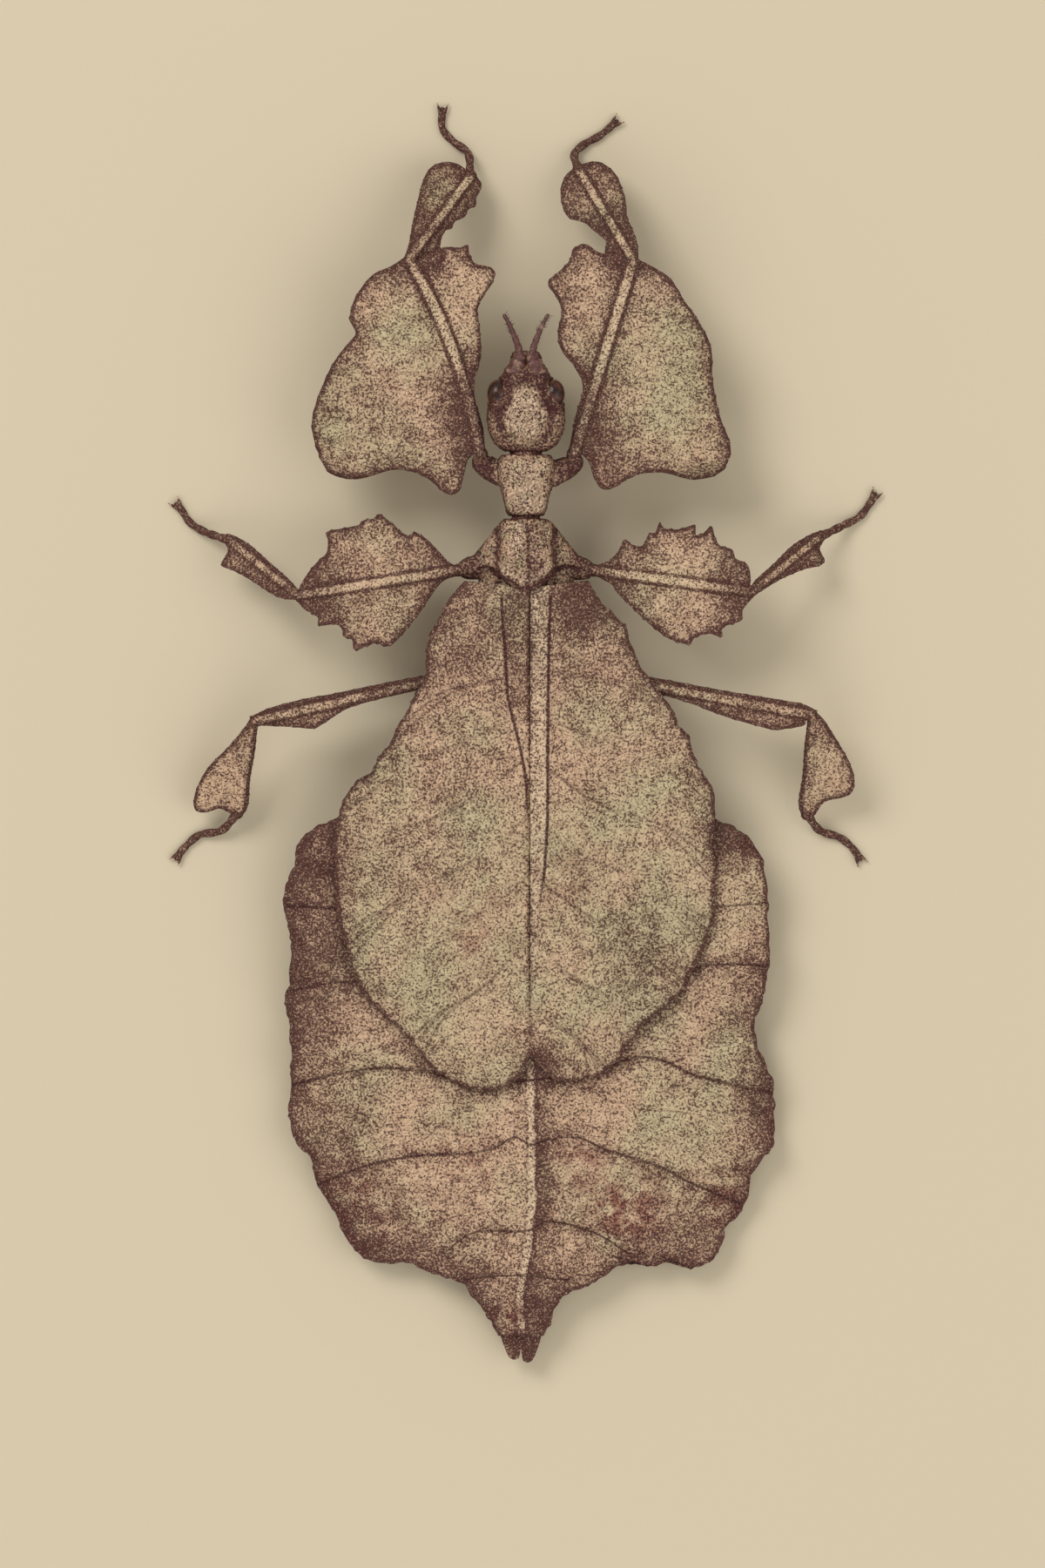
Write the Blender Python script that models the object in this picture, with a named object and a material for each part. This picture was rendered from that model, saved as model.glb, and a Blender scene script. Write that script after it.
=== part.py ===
"""A leaf insect: an adult female of Phyllium siccifolium, standing on a level floor.

Lengths are in millimetres until a mesh is made of them, which takes metres. The head
points along -Y, the insect's left side is +X and the floor is z = 0. The origin lies
on the floor below the middle of the box that holds the whole insect.
"""

import math

import bmesh
import bpy
import numpy as np

MM = 0.001
GAP = 0.3
MERGE = 1e-6

# The body's line: the middle of its flat side lobes is highest at the thorax and falls to the tail.
LOBE_HEIGHT = 6.2
LOBE_SLOPE = 0.08
LOBE_DROOP = 1.3
LOBE_REACH = 20.0
LOBE_THICK = 0.5
RIPPLE_HEIGHT = 0.4
RIPPLE_LENGTH = 8.5
CORE_WIDTH = 6.0
KEEL_WIDTH = 4.5
CORE_RISE = [(-13.0, 0.8), (0.0, 1.3), (20.0, 1.3), (46.0, 0.9), (52.0, 0.3)]
KEEL_DEPTH = [(-4.0, 2.0), (10.0, 2.7), (27.0, 2.7), (36.0, 3.7), (41.5, 3.4), (46.5, 1.5), (52.0, 0.3)]

# The abdomen's margins, from its hidden front corner round to the last segment.
MARGIN_LEFT = [(2.4, -3.3), (9.0, 1.2), (15.2, 6.6), (19.0, 9.1), (20.4, 14.4), (19.4, 18.3),
               (20.6, 22.4), (20.0, 27.0), (20.2, 33.6), (18.3, 36.6), (17.6, 39.2), (16.0, 42.2),
               (13.4, 45.0), (9.4, 45.0), (6.6, 46.4), (5.0, 46.7)]
MARGIN_RIGHT = [(-2.4, -3.3), (-9.0, 1.2), (-15.2, 6.8), (-19.0, 9.2), (-20.6, 14.5), (-20.6, 20.2),
                (-19.4, 25.6), (-21.2, 30.8), (-20.9, 34.4), (-18.8, 37.6), (-18.2, 40.4),
                (-16.4, 43.2), (-13.2, 45.5), (-9.8, 45.0), (-6.6, 45.7), (-4.0, 47.0)]
MIDDLE_LINE = [(0.0, -3.3), (0.0, 20.0), (0.3, 46.4)]
ABDOMEN_ROWS = 40
ABDOMEN_STEPS = [0.0, 0.08, 0.17, 0.28, 0.45, 0.72, 1.0]

# The last segment narrows to a blunt end that carries the two cerci.
TAIL_LEFT = [(5.0, 47.0), (3.7, 48.3), (2.7, 50.3), (2.0, 51.2)]
TAIL_RIGHT = [(-4.0, 47.3), (-2.9, 48.0), (-2.2, 49.6), (-1.3, 51.2)]
TAIL_MIDDLE = [(0.3, 46.7), (0.35, 51.2)]
TAIL_ROWS = 8
TAIL_STEPS = [0.0, 0.2, 0.45, 0.72, 1.0]
CERCUS_WIDTH = 1.25
CERCUS_TAPER = 0.97
CERCUS_ROWS = 6
CERCUS_STEPS = (1, 0.4, -0.4, -1)
CERCUS_RIM = 0.27
CERCUS_RIDGE = 0.12
CERCUS_TIPS = {"left": (0.95, 53.2), "right": (-0.35, 53.45)}

# The tegmina, the leathery forewings, meet along a seam and cover the front of the abdomen.
SEAM = -0.35
WING_THICK = 0.5
WING_FRONT = -12.0
WING_NOTCH = 27.4
WING_LEFT = [(5.2, -12.6), (7.3, -9.8), (8.4, -7.0), (8.7, -4.4), (10.8, -0.3), (13.0, 3.2),
             (15.3, 5.7), (16.2, 10.8), (15.6, 16.8), (13.8, 22.0), (10.3, 25.5), (7.9, 28.5),
             (5.0, 30.1), (2.6, 30.2), (0.6, 29.2)]
WING_RIGHT = [(-5.2, -12.6), (-6.4, -10.8), (-8.2, -9.0), (-9.5, -5.7), (-11.6, -2.8), (-13.8, 0.9),
              (-14.6, 3.0), (-15.9, 5.6), (-15.8, 9.0), (-16.0, 13.0), (-15.4, 17.0), (-13.2, 21.8),
              (-9.6, 25.2), (-7.4, 28.2), (-4.8, 29.5), (-2.6, 29.4), (-1.2, 28.3)]
VEIN_RISE = 0.3
VEIN_HALF = 0.35
VEIN_FADE = 3.0
SIDE_VEINS = [0.14, 0.25, 0.36, 0.48, 0.6, 0.74]
VEIN_SIDE = 0.012
WING_STEPS = [0.3, 0.48, 0.66, 0.83, 1.0]
# How much further out than along the seam the rows of a tegmen reach, so that they run as its side veins do.
WING_SPREAD = 0.9
WING_ENDS = (0.05, 0.88, 0.95)
# How far the main vein runs from the seam, by its place between the wing's root and its notch.
MAIN_VEIN = {"left": [(0.0, 2.2), (0.13, 2.25), (0.22, 2.0), (0.3, 1.2), (0.37, 0.6), (1.0, 0.5)],
             "right": [(0.0, 2.0), (0.2, 1.6), (0.36, 1.85), (0.5, 1.75), (0.75, 1.0), (1.0, 0.6)]}

# Sections of the head and thorax: place along the body, half width, lowest and highest point.
HEAD = [(-23.5, 1.8, 5.9, 8.7), (-24.1, 2.6, 5.3, 9.3), (-25.2, 3.15, 4.9, 9.8),
        (-26.6, 3.3, 4.7, 10.1), (-27.8, 3.05, 4.7, 10.0), (-28.8, 2.6, 4.7, 9.7),
        (-29.8, 2.1, 4.8, 9.2), (-30.7, 1.6, 5.1, 8.4), (-31.2, 1.0, 5.5, 7.6)]
PRONOTUM = [(-23.2, 2.1, 5.8, 8.7), (-22.6, 2.4, 5.4, 9.0), (-21.4, 2.45, 5.2, 9.1),
            (-19.8, 2.0, 5.2, 8.9), (-18.5, 1.7, 5.4, 8.8), (-18.1, 1.5, 5.6, 8.6)]
MESONOTUM = [(-17.8, 1.8, 6.0, 8.8), (-17.3, 2.3, 6.0, 9.2), (-16.0, 2.45, 6.0, 9.5),
             (-14.0, 2.5, 6.0, 9.7), (-12.95, 2.4, 6.0, 9.4)]
MESO_FLANKS = [(-17.75, 1.6, 5.6, 7.6), (-17.2, 2.5, 5.1, 7.9), (-16.0, 3.4, 4.6, 8.2),
               (-14.9, 4.3, 4.5, 8.0), (-13.9, 4.6, 4.6, 7.8), (-12.95, 4.2, 4.8, 7.6)]
METATHORAX = [(-12.65, 4.0, 4.7), (-11.0, 3.9, 4.4), (-8.0, 3.7, 4.2), (-5.5, 3.9, 4.1), (-3.65, 2.9, 4.2)]
# The scutellum: place, half width and rise of its middle, then its height across from rim to rim.
SCUTELLUM = [(-14.7, 1.0, 0.3), (-13.9, 1.9, 0.45), (-13.2, 2.15, 0.52), (-12.6, 1.8, 0.5),
             (-12.1, 1.1, 0.45), (-11.7, 0.4, 0.35)]
SCUTELLUM_ARCH = [0.3, 0.82, 1.0, 0.82, 0.3]
MESONOTUM_FULLNESS = 0.7
FLANK_FULLNESS = 1.1
HEAD_FULLNESS = 0.95

EYE_PLACE = (2.35, -28.3, 8.1)
EYE_SIZE = (1.0, 1.4, 1.2)
ANTENNA_LINE = [(0.95, -29.3, 7.2), (0.75, -31.1, 7.9), (1.05, -32.8, 8.4), (1.55, -34.2, 8.5),
                (1.9, -35.0, 8.4)]
ANTENNA_JOINTS = 9
ANTENNA_RADII = (0.36, 0.2)
ANTENNA_ROOT = [0.6, 0.62, 0.5]
ANTENNA_TIP = 0.12
MOUTH = (0.0, -31.3, 5.9)
MOUTH_SIZE = (1.2, 0.8, 1.1)
JAW = (0.75, -31.0, 5.0)
JAW_SIZE = (0.6, 0.75, 0.75)
PALP_LINE = [(0.9, -31.0, 4.9), (1.25, -31.9, 4.5), (1.0, -32.6, 4.2)]
PALP_RADII = [0.3, 0.25, 0.3, 0.25, 0.3, 0.25, 0.22]

# Each leg's joints from the hip to the ankle; the insect doesn't hold its two sides quite alike.
COXA_ROOTS = {"fore": (1.2, -21.2), "mid": (2.9, -14.0), "hind": (2.4, -5.5)}
COXA_ELBOW = 1.2
COXA_RADII = (1.15, 0.95, 0.7)
HIPS = {"fore": 6.6, "mid": 6.2, "hind": 5.2}
KNEES = {"fore": 8.0, "mid": 7.0, "hind": 6.4}
ANKLES = {"fore": 2.2, "mid": 2.0, "hind": 1.8}
JOINTS = {
    "fore_left": [(3.9, -23.5), (9.8, -39.6), (4.5, -47.2)],
    "fore_right": [(-4.1, -23.5), (-9.0, -39.5), (-4.3, -47.8)],
    "mid_left": [(5.9, -13.5), (19.2, -11.4), (25.4, -16.4)],
    "mid_right": [(-5.9, -13.5), (-19.0, -11.7), (-25.2, -16.7)],
    "hind_left": [(5.3, -4.8), (22.9, -0.8), (24.4, 7.2)],
    "hind_right": [(-5.3, -4.8), (-24.1, -1.3), (-23.7, 7.3)],
}
TOES = {
    "fore_left": [(4.9, -49.0), (6.2, -50.1), (7.1, -51.2), (7.1, -52.7)],
    "fore_right": [(-4.1, -48.9), (-4.9, -49.8), (-6.3, -50.6), (-7.6, -51.7)],
    "mid_left": [(27.2, -16.9), (28.5, -17.7), (29.2, -18.7), (29.6, -19.2)],
    "mid_right": [(-27.0, -17.5), (-28.3, -18.2), (-29.1, -19.2), (-29.6, -20.0)],
    "hind_left": [(25.8, 8.4), (27.7, 8.8), (29.0, 9.9), (29.6, 10.7)],
    "hind_right": [(-24.9, 8.4), (-26.6, 9.0), (-27.7, 9.9), (-28.3, 10.8)],
}
TOE_HEIGHTS = (0.75, 0.3, 0.24, 0.22)

# The leaf-like edges of each segment: part of the way from its upper joint to its lower one, then width.
# The front edge is the inner one on the raised forelegs and the outer one on the hind tibiae.
FRONT = {
    "femur_fore_left": [(0.16, 0.9), (0.31, 1.4), (0.43, 2.9), (0.54, 3.7), (0.65, 4.2),
                        (0.77, 6.5), (0.83, 6.7), (0.92, 5.4), (0.99, 5.0), (1.0, 3.4), (0.97, 1.6)],
    "femur_fore_right": [(0.14, 0.8), (0.38, 1.2), (0.46, 2.6), (0.52, 4.1), (0.67, 4.7),
                         (0.76, 6.2), (0.82, 6.5), (0.9, 5.4), (0.99, 5.0), (1.0, 3.4), (0.97, 1.6)],
    "tibia_fore_left": [(0.22, 1.3), (0.33, 0.9), (0.5, 1.4), (0.71, 1.9), (0.85, 1.3), (0.96, 1.1)],
    "tibia_fore_right": [(0.26, 1.8), (0.34, 1.2), (0.5, 1.8), (0.68, 3.1), (0.8, 3.0), (0.95, 1.5)],
    "femur_mid_left": [(0.1, 1.3), (0.22, 2.9), (0.33, 4.0), (0.47, 5.6), (0.62, 5.0),
                       (0.77, 4.6), (0.82, 3.1), (0.93, 1.8)],
    "femur_mid_right": [(0.08, 1.7), (0.2, 2.5), (0.36, 4.1), (0.5, 4.3), (0.66, 4.5),
                        (0.75, 3.4), (0.87, 2.9), (0.96, 1.6)],
    "tibia_mid_left": [(0.3, 0.6), (0.6, 0.9), (0.85, 0.8)],
    "tibia_mid_right": [(0.3, 0.6), (0.6, 0.8), (0.85, 0.7)],
    "femur_hind_left": [(0.3, 0.7), (0.6, 0.6), (0.85, 0.9)],
    "femur_hind_right": [(0.3, 0.8), (0.7, 0.8), (0.9, 0.8)],
    "tibia_hind_left": [(0.15, 1.0), (0.31, 1.7), (0.59, 3.0), (0.81, 3.7), (0.95, 3.5), (1.0, 1.9)],
    "tibia_hind_right": [(0.12, 1.7), (0.34, 3.1), (0.55, 3.9), (0.75, 4.0), (0.84, 2.6), (0.93, 1.3)],
}
REAR = {
    "femur_fore_left": [(-0.03, 1.4), (-0.14, 2.6), (-0.14, 3.8), (-0.02, 5.1), (0.06, 7.2), (0.08, 10.4),
                        (0.15, 12.4), (0.27, 12.8), (0.41, 12.5), (0.52, 11.3), (0.64, 9.3), (0.71, 7.6),
                        (0.75, 6.4), (0.83, 6.4), (0.92, 5.3), (0.99, 3.4), (1.0, 1.7)],
    "femur_fore_right": [(-0.03, 1.4), (-0.12, 2.5), (-0.13, 3.7), (-0.02, 5.6), (0.03, 7.7), (0.04, 10.1),
                         (0.1, 12.0), (0.18, 12.6), (0.27, 12.3), (0.38, 10.9), (0.54, 9.4), (0.7, 8.4),
                         (0.8, 6.9), (0.89, 5.0), (0.97, 3.4), (1.0, 1.7)],
    "tibia_fore_left": [(0.15, 1.0), (0.4, 1.7), (0.58, 2.5), (0.75, 3.0), (0.9, 2.6), (0.98, 1.3)],
    "tibia_fore_right": [(0.2, 1.1), (0.45, 1.7), (0.65, 2.4), (0.8, 2.6), (0.93, 2.1), (0.98, 1.1)],
    "femur_mid_left": [(0.14, 1.1), (0.25, 2.1), (0.4, 4.0), (0.52, 5.1), (0.72, 4.9),
                       (0.77, 3.8), (0.9, 2.9), (0.97, 1.7)],
    "femur_mid_right": [(0.15, 1.5), (0.3, 3.0), (0.45, 4.2), (0.6, 5.0), (0.72, 4.2),
                        (0.84, 3.8), (0.9, 3.0), (0.97, 1.7)],
    "tibia_mid_left": [(0.22, 1.4), (0.6, 1.9), (0.81, 2.2), (0.87, 1.6), (0.88, 0.8)],
    "tibia_mid_right": [(0.3, 0.8), (0.55, 1.2), (0.8, 1.8), (0.87, 1.7), (0.92, 0.8)],
    "femur_hind_left": [(0.4, 0.5), (0.55, 0.7), (0.68, 1.3), (0.77, 1.8), (0.86, 1.4), (0.95, 0.8)],
    "femur_hind_right": [(0.4, 0.5), (0.5, 1.1), (0.66, 1.6), (0.82, 1.8), (0.9, 1.2), (0.97, 0.8)],
    "tibia_hind_left": [(0.3, 0.5), (0.6, 0.5), (0.86, 0.7)],
    "tibia_hind_right": [(0.33, 0.5), (0.6, 0.5), (0.85, 0.7)],
}
SHAFTS = {"femur_fore": 0.6, "femur_mid": 0.55, "femur_hind": 0.48,
          "tibia_fore": 0.48, "tibia_mid": 0.42, "tibia_hind": 0.42}
BLADE_ROWS = {"femur_fore": 30, "femur_mid": 26, "femur_hind": 18,
              "tibia_fore": 16, "tibia_mid": 14, "tibia_hind": 16}
BLADE_STEPS = {"femur_fore": [0.5, 1.0], "femur_mid": [0.5, 1.0], "femur_hind": [1.0],
               "tibia_fore": [1.0], "tibia_mid": [1.0], "tibia_hind": [1.0]}
SHOULDER_WIDTH = 0.6
SHOULDER_HEIGHT = 0.8
BEVEL_FADE = 3.0
HEM = 0.12
BLADE_DROOP = 1.1
BLADE_REACH = 12.0
BLADE_RIPPLE = 0.5
BLADE_WAVES = 9.0
BLADE_BOW = {"femur_fore_left": 0.8}
# Teeth on both edges: the first row that carries one, the row they end before, their spacing and height.
TEETH = {"femur_mid": (5, 22, 3, 0.5)}
TARSUS_JOINTS = 5
TARSUS_RADII = (0.36, 0.3)
ANKLE_DEPTH = 0.5
CLAW_LENGTH = 0.8
CLAW_RADII = [0.24, 0.2, 0.06]
CLAW_SPREAD = math.radians(38)
CLAW_HOOK = 1.5
CLAW_LIFT = 0.1

OLIVE = (0.20, 0.19, 0.09)
TAN = (0.27, 0.18, 0.11)
MAROON = (0.13, 0.05, 0.045)
EYE_COLOUR = (0.10, 0.045, 0.03)


def clear_scene():
    for item in list(bpy.data.objects):
        bpy.data.objects.remove(item)


def new_collection(name):
    made = bpy.data.collections.new(name)
    bpy.context.scene.collection.children.link(made)
    return made


def finish(name, colour, roughness):
    """A plain material for one node."""
    material = bpy.data.materials.new(name)
    material.use_nodes = True
    shader = material.node_tree.nodes["Principled BSDF"]
    shader.inputs["Base Color"].default_value = (*colour, 1.0)
    shader.inputs["Roughness"].default_value = roughness
    shader.inputs["Metallic"].default_value = 0.0
    return material


def add_object(name, shape, colour, roughness=0.6):
    """Turns a bmesh in metres into a named object with its own material."""
    bmesh.ops.remove_doubles(shape, verts=shape.verts, dist=MERGE)
    bmesh.ops.recalc_face_normals(shape, faces=shape.faces)
    mesh = bpy.data.meshes.new(name)
    shape.to_mesh(mesh)
    shape.free()
    mesh.materials.append(finish(name, colour, roughness))
    made = bpy.data.objects.new(name, mesh)
    PARTS.objects.link(made)
    return made


def through(points, count):
    """A smooth line through the points, as evenly spaced points along it."""
    knots = np.array(points, float)
    padded = np.vstack([2 * knots[0] - knots[1], knots, 2 * knots[-1] - knots[-2]])
    t = np.linspace(0, 1, 12, endpoint=False)[:, None]
    pieces = []
    for a, b, c, d in zip(padded, padded[1:], padded[2:], padded[3:]):
        bend = (2 * a - 5 * b + 4 * c - d) * t**2 + (3 * b - a - 3 * c + d) * t**3
        pieces.append(b + ((c - a) * t + bend) / 2)
    line = np.vstack([*pieces, knots[-1:]])
    steps = np.linalg.norm(np.diff(line, axis=0), axis=1)
    length = np.concatenate([[0], np.cumsum(steps)])
    at = np.asarray(count) if np.ndim(count) else np.linspace(0, 1, count)
    return np.column_stack([np.interp(at * length[-1], length, column) for column in line.T])


def along(table, place):
    """Reads a table of (place, value) pairs between its entries."""
    places, values = zip(*table)
    return np.interp(place, places, values)


def bell(x):
    return np.exp(-x * x)


def lobe_middle(x, y):
    """Height of the middle of the thin side lobes, which droop and ripple towards the margins."""
    outward = np.abs(x) / LOBE_REACH
    ripple = RIPPLE_HEIGHT * outward**3 * np.sin(2 * math.pi * y / RIPPLE_LENGTH)
    return LOBE_HEIGHT - LOBE_SLOPE * y - LOBE_DROOP * outward**2 + ripple


def back(x, y):
    """Height of the abdomen's upper face."""
    return lobe_middle(x, y) + LOBE_THICK / 2 + along(CORE_RISE, y) * bell(x / CORE_WIDTH)


def belly(x, y):
    """Height of the abdomen's lower face, where the keel of the body rests flat on the floor."""
    keel = along(KEEL_DEPTH, y) * bell(x / KEEL_WIDTH)
    return np.maximum(lobe_middle(x, y) - LOBE_THICK / 2 - keel, 0.0)


def sheet(name, top, bottom, colour):
    """A closed sheet between two grids of points, split into triangles alike on both faces."""
    shape = bmesh.new()
    upper = [[shape.verts.new(point * MM) for point in row] for row in top]
    lower = [[shape.verts.new(point * MM) for point in row] for row in bottom]
    rows, columns = len(upper), len(upper[0])
    for i in range(rows - 1):
        for j in range(columns - 1):
            for side in (upper, lower):
                a, b, c, d = side[i][j], side[i][j + 1], side[i + 1][j + 1], side[i + 1][j]
                if j < columns // 2:
                    shape.faces.new((a, b, c))
                    shape.faces.new((a, c, d))
                else:
                    shape.faces.new((a, b, d))
                    shape.faces.new((b, c, d))
    rim = [(0, j) for j in range(columns)] + [(i, columns - 1) for i in range(1, rows)]
    rim += [(rows - 1, j) for j in range(columns - 2, -1, -1)] + [(i, 0) for i in range(rows - 2, 0, -1)]
    for (i, j), (k, m) in zip(rim, rim[1:] + rim[:1]):
        shape.faces.new((upper[i][j], upper[k][m], lower[k][m]))
        shape.faces.new((upper[i][j], lower[k][m], lower[i][j]))
    return add_object(name, shape, colour)


def loft(name, rings, colour):
    """A closed skin over rings of the same number of points."""
    shape = bmesh.new()
    loops = [[shape.verts.new(point * MM) for point in ring] for ring in rings]
    for near, far in zip(loops, loops[1:]):
        for k in range(len(near)):
            shape.faces.new((near[k - 1], near[k], far[k], far[k - 1]))
    shape.faces.new(loops[0])
    shape.faces.new(loops[-1])
    return add_object(name, shape, colour)


def section(y, half_width, low, high, sides=20, fullness=0.85):
    """One ring across the body; fullness below 1 squares its corners."""
    turn = np.linspace(0, 2 * math.pi, sides, endpoint=False)
    across = np.sign(np.cos(turn)) * np.abs(np.cos(turn)) ** fullness
    up = np.sign(np.sin(turn)) * np.abs(np.sin(turn)) ** fullness
    z = (low + high) / 2 + (high - low) / 2 * up
    return np.column_stack([half_width * across, np.full(sides, y), z])


def tube(name, path, radii, colour, sides=8):
    """A round rod along a path, with a radius at each of its points."""
    curve = bpy.data.curves.new(name, "CURVE")
    curve.dimensions = "3D"
    curve.bevel_depth = MM
    curve.bevel_resolution = (sides - 4) // 2
    curve.use_fill_caps = True
    spline = curve.splines.new("POLY")
    spline.points.add(len(path) - 1)
    for knot, place, radius in zip(spline.points, path, radii):
        knot.co = (*(np.array(place) * MM), 1.0)
        knot.radius = radius
    guide = bpy.data.objects.new(name + "_line", curve)
    PARTS.objects.link(guide)
    mesh = bpy.data.meshes.new_from_object(guide.evaluated_get(bpy.context.evaluated_depsgraph_get()))
    bpy.data.objects.remove(guide)
    shape = bmesh.new()
    shape.from_mesh(mesh)
    bpy.data.meshes.remove(mesh)
    return add_object(name, shape, colour)


def ball(name, centre, radii, colour, rings=10, roughness=0.6):
    """An ellipsoid."""
    shape = bmesh.new()
    bmesh.ops.create_uvsphere(shape, u_segments=2 * rings, v_segments=rings, radius=MM)
    bmesh.ops.scale(shape, vec=radii, verts=shape.verts)
    bmesh.ops.translate(shape, vec=np.array(centre) * MM, verts=shape.verts)
    return add_object(name, shape, colour, roughness)


def keep_largest(mesh):
    """Drops every closed surface of a mesh but the one round the most volume."""
    shape = bmesh.new()
    shape.from_mesh(mesh)
    bmesh.ops.triangulate(shape, faces=shape.faces)
    left = set(shape.faces)
    shells = []
    while left:
        reached = [left.pop()]
        for face in reached:
            near = {other for edge in face.edges for other in edge.link_faces} & left
            left -= near
            reached.extend(near)
        volume = sum(f.verts[0].co.dot(f.verts[1].co.cross(f.verts[2].co)) for f in reached)
        shells.append((volume, reached))
    shells.sort(key=lambda shell: shell[0])
    for _, faces in shells[:-1]:
        bmesh.ops.delete(shape, geom=faces, context="FACES")
    shape.to_mesh(mesh)
    shape.free()


def apply_boolean(target, operation, pieces):
    """Joins the pieces to the target or cuts them from it, and removes them."""
    group = bpy.data.collections.new(target.name + "_pieces")
    bpy.context.scene.collection.children.link(group)
    for piece in pieces:
        PARTS.objects.unlink(piece)
        group.objects.link(piece)
    change = target.modifiers.new(operation.lower(), "BOOLEAN")
    change.operation = operation
    change.operand_type = "COLLECTION"
    change.collection = group
    change.solver = "EXACT"
    evaluated = target.evaluated_get(bpy.context.evaluated_depsgraph_get())
    mesh = bpy.data.meshes.new_from_object(evaluated)
    target.modifiers.clear()
    target.data = mesh
    keep_largest(mesh)
    for piece in pieces:
        bpy.data.objects.remove(piece)
    bpy.data.collections.remove(group)
    return target


def fuse(target, *pieces):
    return apply_boolean(target, "UNION", pieces)


def grown(source, distance):
    """A copy of an object whose surface stands off from it by a distance."""
    shape = bmesh.new()
    shape.from_mesh(source.data)
    shape.normal_update()
    moves = [(vert, vert.normal.copy()) for vert in shape.verts]
    for vert, normal in moves:
        vert.co += normal * distance * MM
    return add_object(source.name + "_grown", shape, MAROON)


def cut_clear(child, neighbour):
    """Cuts a piece back so that it keeps a gap to its neighbour, face to face with it."""
    return apply_boolean(child, "DIFFERENCE", [grown(neighbour, GAP)])


def sides_of(row_left, row_middle, row_right, steps):
    """Plan points of one row across the body, from its left margin to its right one."""
    left = [row_middle + step * (row_left - row_middle) for step in reversed(steps)]
    right = [row_middle + step * (row_right - row_middle) for step in steps[1:]]
    return np.array(left + right)


def plan_rows(left, middle, right, rows, steps):
    edges = zip(through(left, rows), through(middle, rows), through(right, rows))
    return np.array([sides_of(a, b, c, steps) for a, b, c in edges])


def with_height(plan, height):
    return np.dstack([plan, height])


def make_abdomen():
    plan = plan_rows(MARGIN_LEFT, MIDDLE_LINE, MARGIN_RIGHT, ABDOMEN_ROWS, ABDOMEN_STEPS)
    x, y = plan[..., 0], plan[..., 1]
    top = with_height(plan, back(x, y))
    bottom = with_height(plan, belly(x, y))
    return sheet("abdomen", top, bottom, OLIVE)


def make_tail():
    plan = plan_rows(TAIL_LEFT, TAIL_MIDDLE, TAIL_RIGHT, TAIL_ROWS, TAIL_STEPS)
    x, y = plan[..., 0], plan[..., 1]
    top = with_height(plan, back(x, y))
    bottom = with_height(plan, belly(x, y))
    return sheet("terminal_segment", top, bottom, TAN)


def make_cercus(side):
    """A small flat leaf behind the last segment."""
    tip_x, tip_y = CERCUS_TIPS[side]
    start_y = TAIL_MIDDLE[-1][1] + GAP
    rows = []
    for t in np.linspace(0, 1, CERCUS_ROWS):
        half = CERCUS_WIDTH / 2 * math.sqrt(1 - CERCUS_TAPER * t**1.6)
        y = start_y + (tip_y - start_y) * t
        rows.append([(tip_x + half * across, y) for across in CERCUS_STEPS])
    plan = np.array(rows)
    x, y = plan[..., 0], plan[..., 1]
    middle = lobe_middle(x, y)
    half = CERCUS_RIM + CERCUS_RIDGE * (1 - np.abs(x - tip_x) / CERCUS_WIDTH * 2)
    name = f"cercus_{side}"
    return sheet(name, with_height(plan, middle + half), with_height(plan, middle - half), TAN)


def wing_rows():
    """Places along the wing of its rows: three close together at each side vein, and some between."""
    places = {0.0, 1.0, *WING_ENDS}
    for vein in SIDE_VEINS:
        places |= {vein - VEIN_SIDE, vein, vein + VEIN_SIDE}
    for near, far in zip([WING_ENDS[0], *SIDE_VEINS], [*SIDE_VEINS, WING_ENDS[1]]):
        places.add((near + far) / 2)
    return np.array(sorted(places))


def make_wing(side, outline):
    """One tegmen; its rows run back and outwards as the side veins do."""
    sign = 1 if side == "left" else -1
    inner_x = SEAM + sign * GAP / 2
    t = wing_rows()
    spread = t + WING_SPREAD * t * (1 - t) ** 2
    inner = np.column_stack([np.full(len(t), inner_x), WING_FRONT + (WING_NOTCH - WING_FRONT) * t])
    outer = through([*outline, (inner_x, WING_NOTCH)], spread)
    rows, rises = [], []
    for place, a, b in zip(t, inner, outer):
        width = np.linalg.norm(b - a)
        vein = min(along(MAIN_VEIN[side], place) / max(width, MERGE), WING_STEPS[0] / 2)
        half = min(VEIN_HALF / max(width, MERGE), vein / 2)
        steps = [0.0, vein - half, vein, vein + half, *WING_STEPS]
        rows.append([a + step * (b - a) for step in steps])
        side_vein = VEIN_RISE if place in SIDE_VEINS else 0.0
        fade = min(1.0, width / VEIN_FADE)
        across = [0.0, side_vein / 2, VEIN_RISE, *[side_vein] * 4, side_vein / 2, 0.0]
        rises.append([fade * rise for rise in across])
    plan = np.array(rows)
    x, y = plan[..., 0], plan[..., 1]
    under = back(x, y) + GAP
    top = with_height(plan, under + WING_THICK + np.array(rises))
    if sign < 0:
        return sheet(f"tegmen_{side}", top, with_height(plan, under), OLIVE)
    return sheet(f"tegmen_{side}", top[:, ::-1], with_height(plan, under)[:, ::-1], OLIVE)


def make_scutellum():
    """The domed plate over the roots of the tegmina."""
    under = back(0, WING_FRONT) + WING_THICK + 2 * GAP
    across = np.linspace(1, -1, len(SCUTELLUM_ARCH))
    plan = np.array([[(half * step, y) for step in across] for y, half, _ in SCUTELLUM])
    top = with_height(plan, under + np.outer([rise for _, _, rise in SCUTELLUM], SCUTELLUM_ARCH))
    return sheet("scutellum", top, with_height(plan, np.full(plan.shape[:2], under)), TAN)


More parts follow.
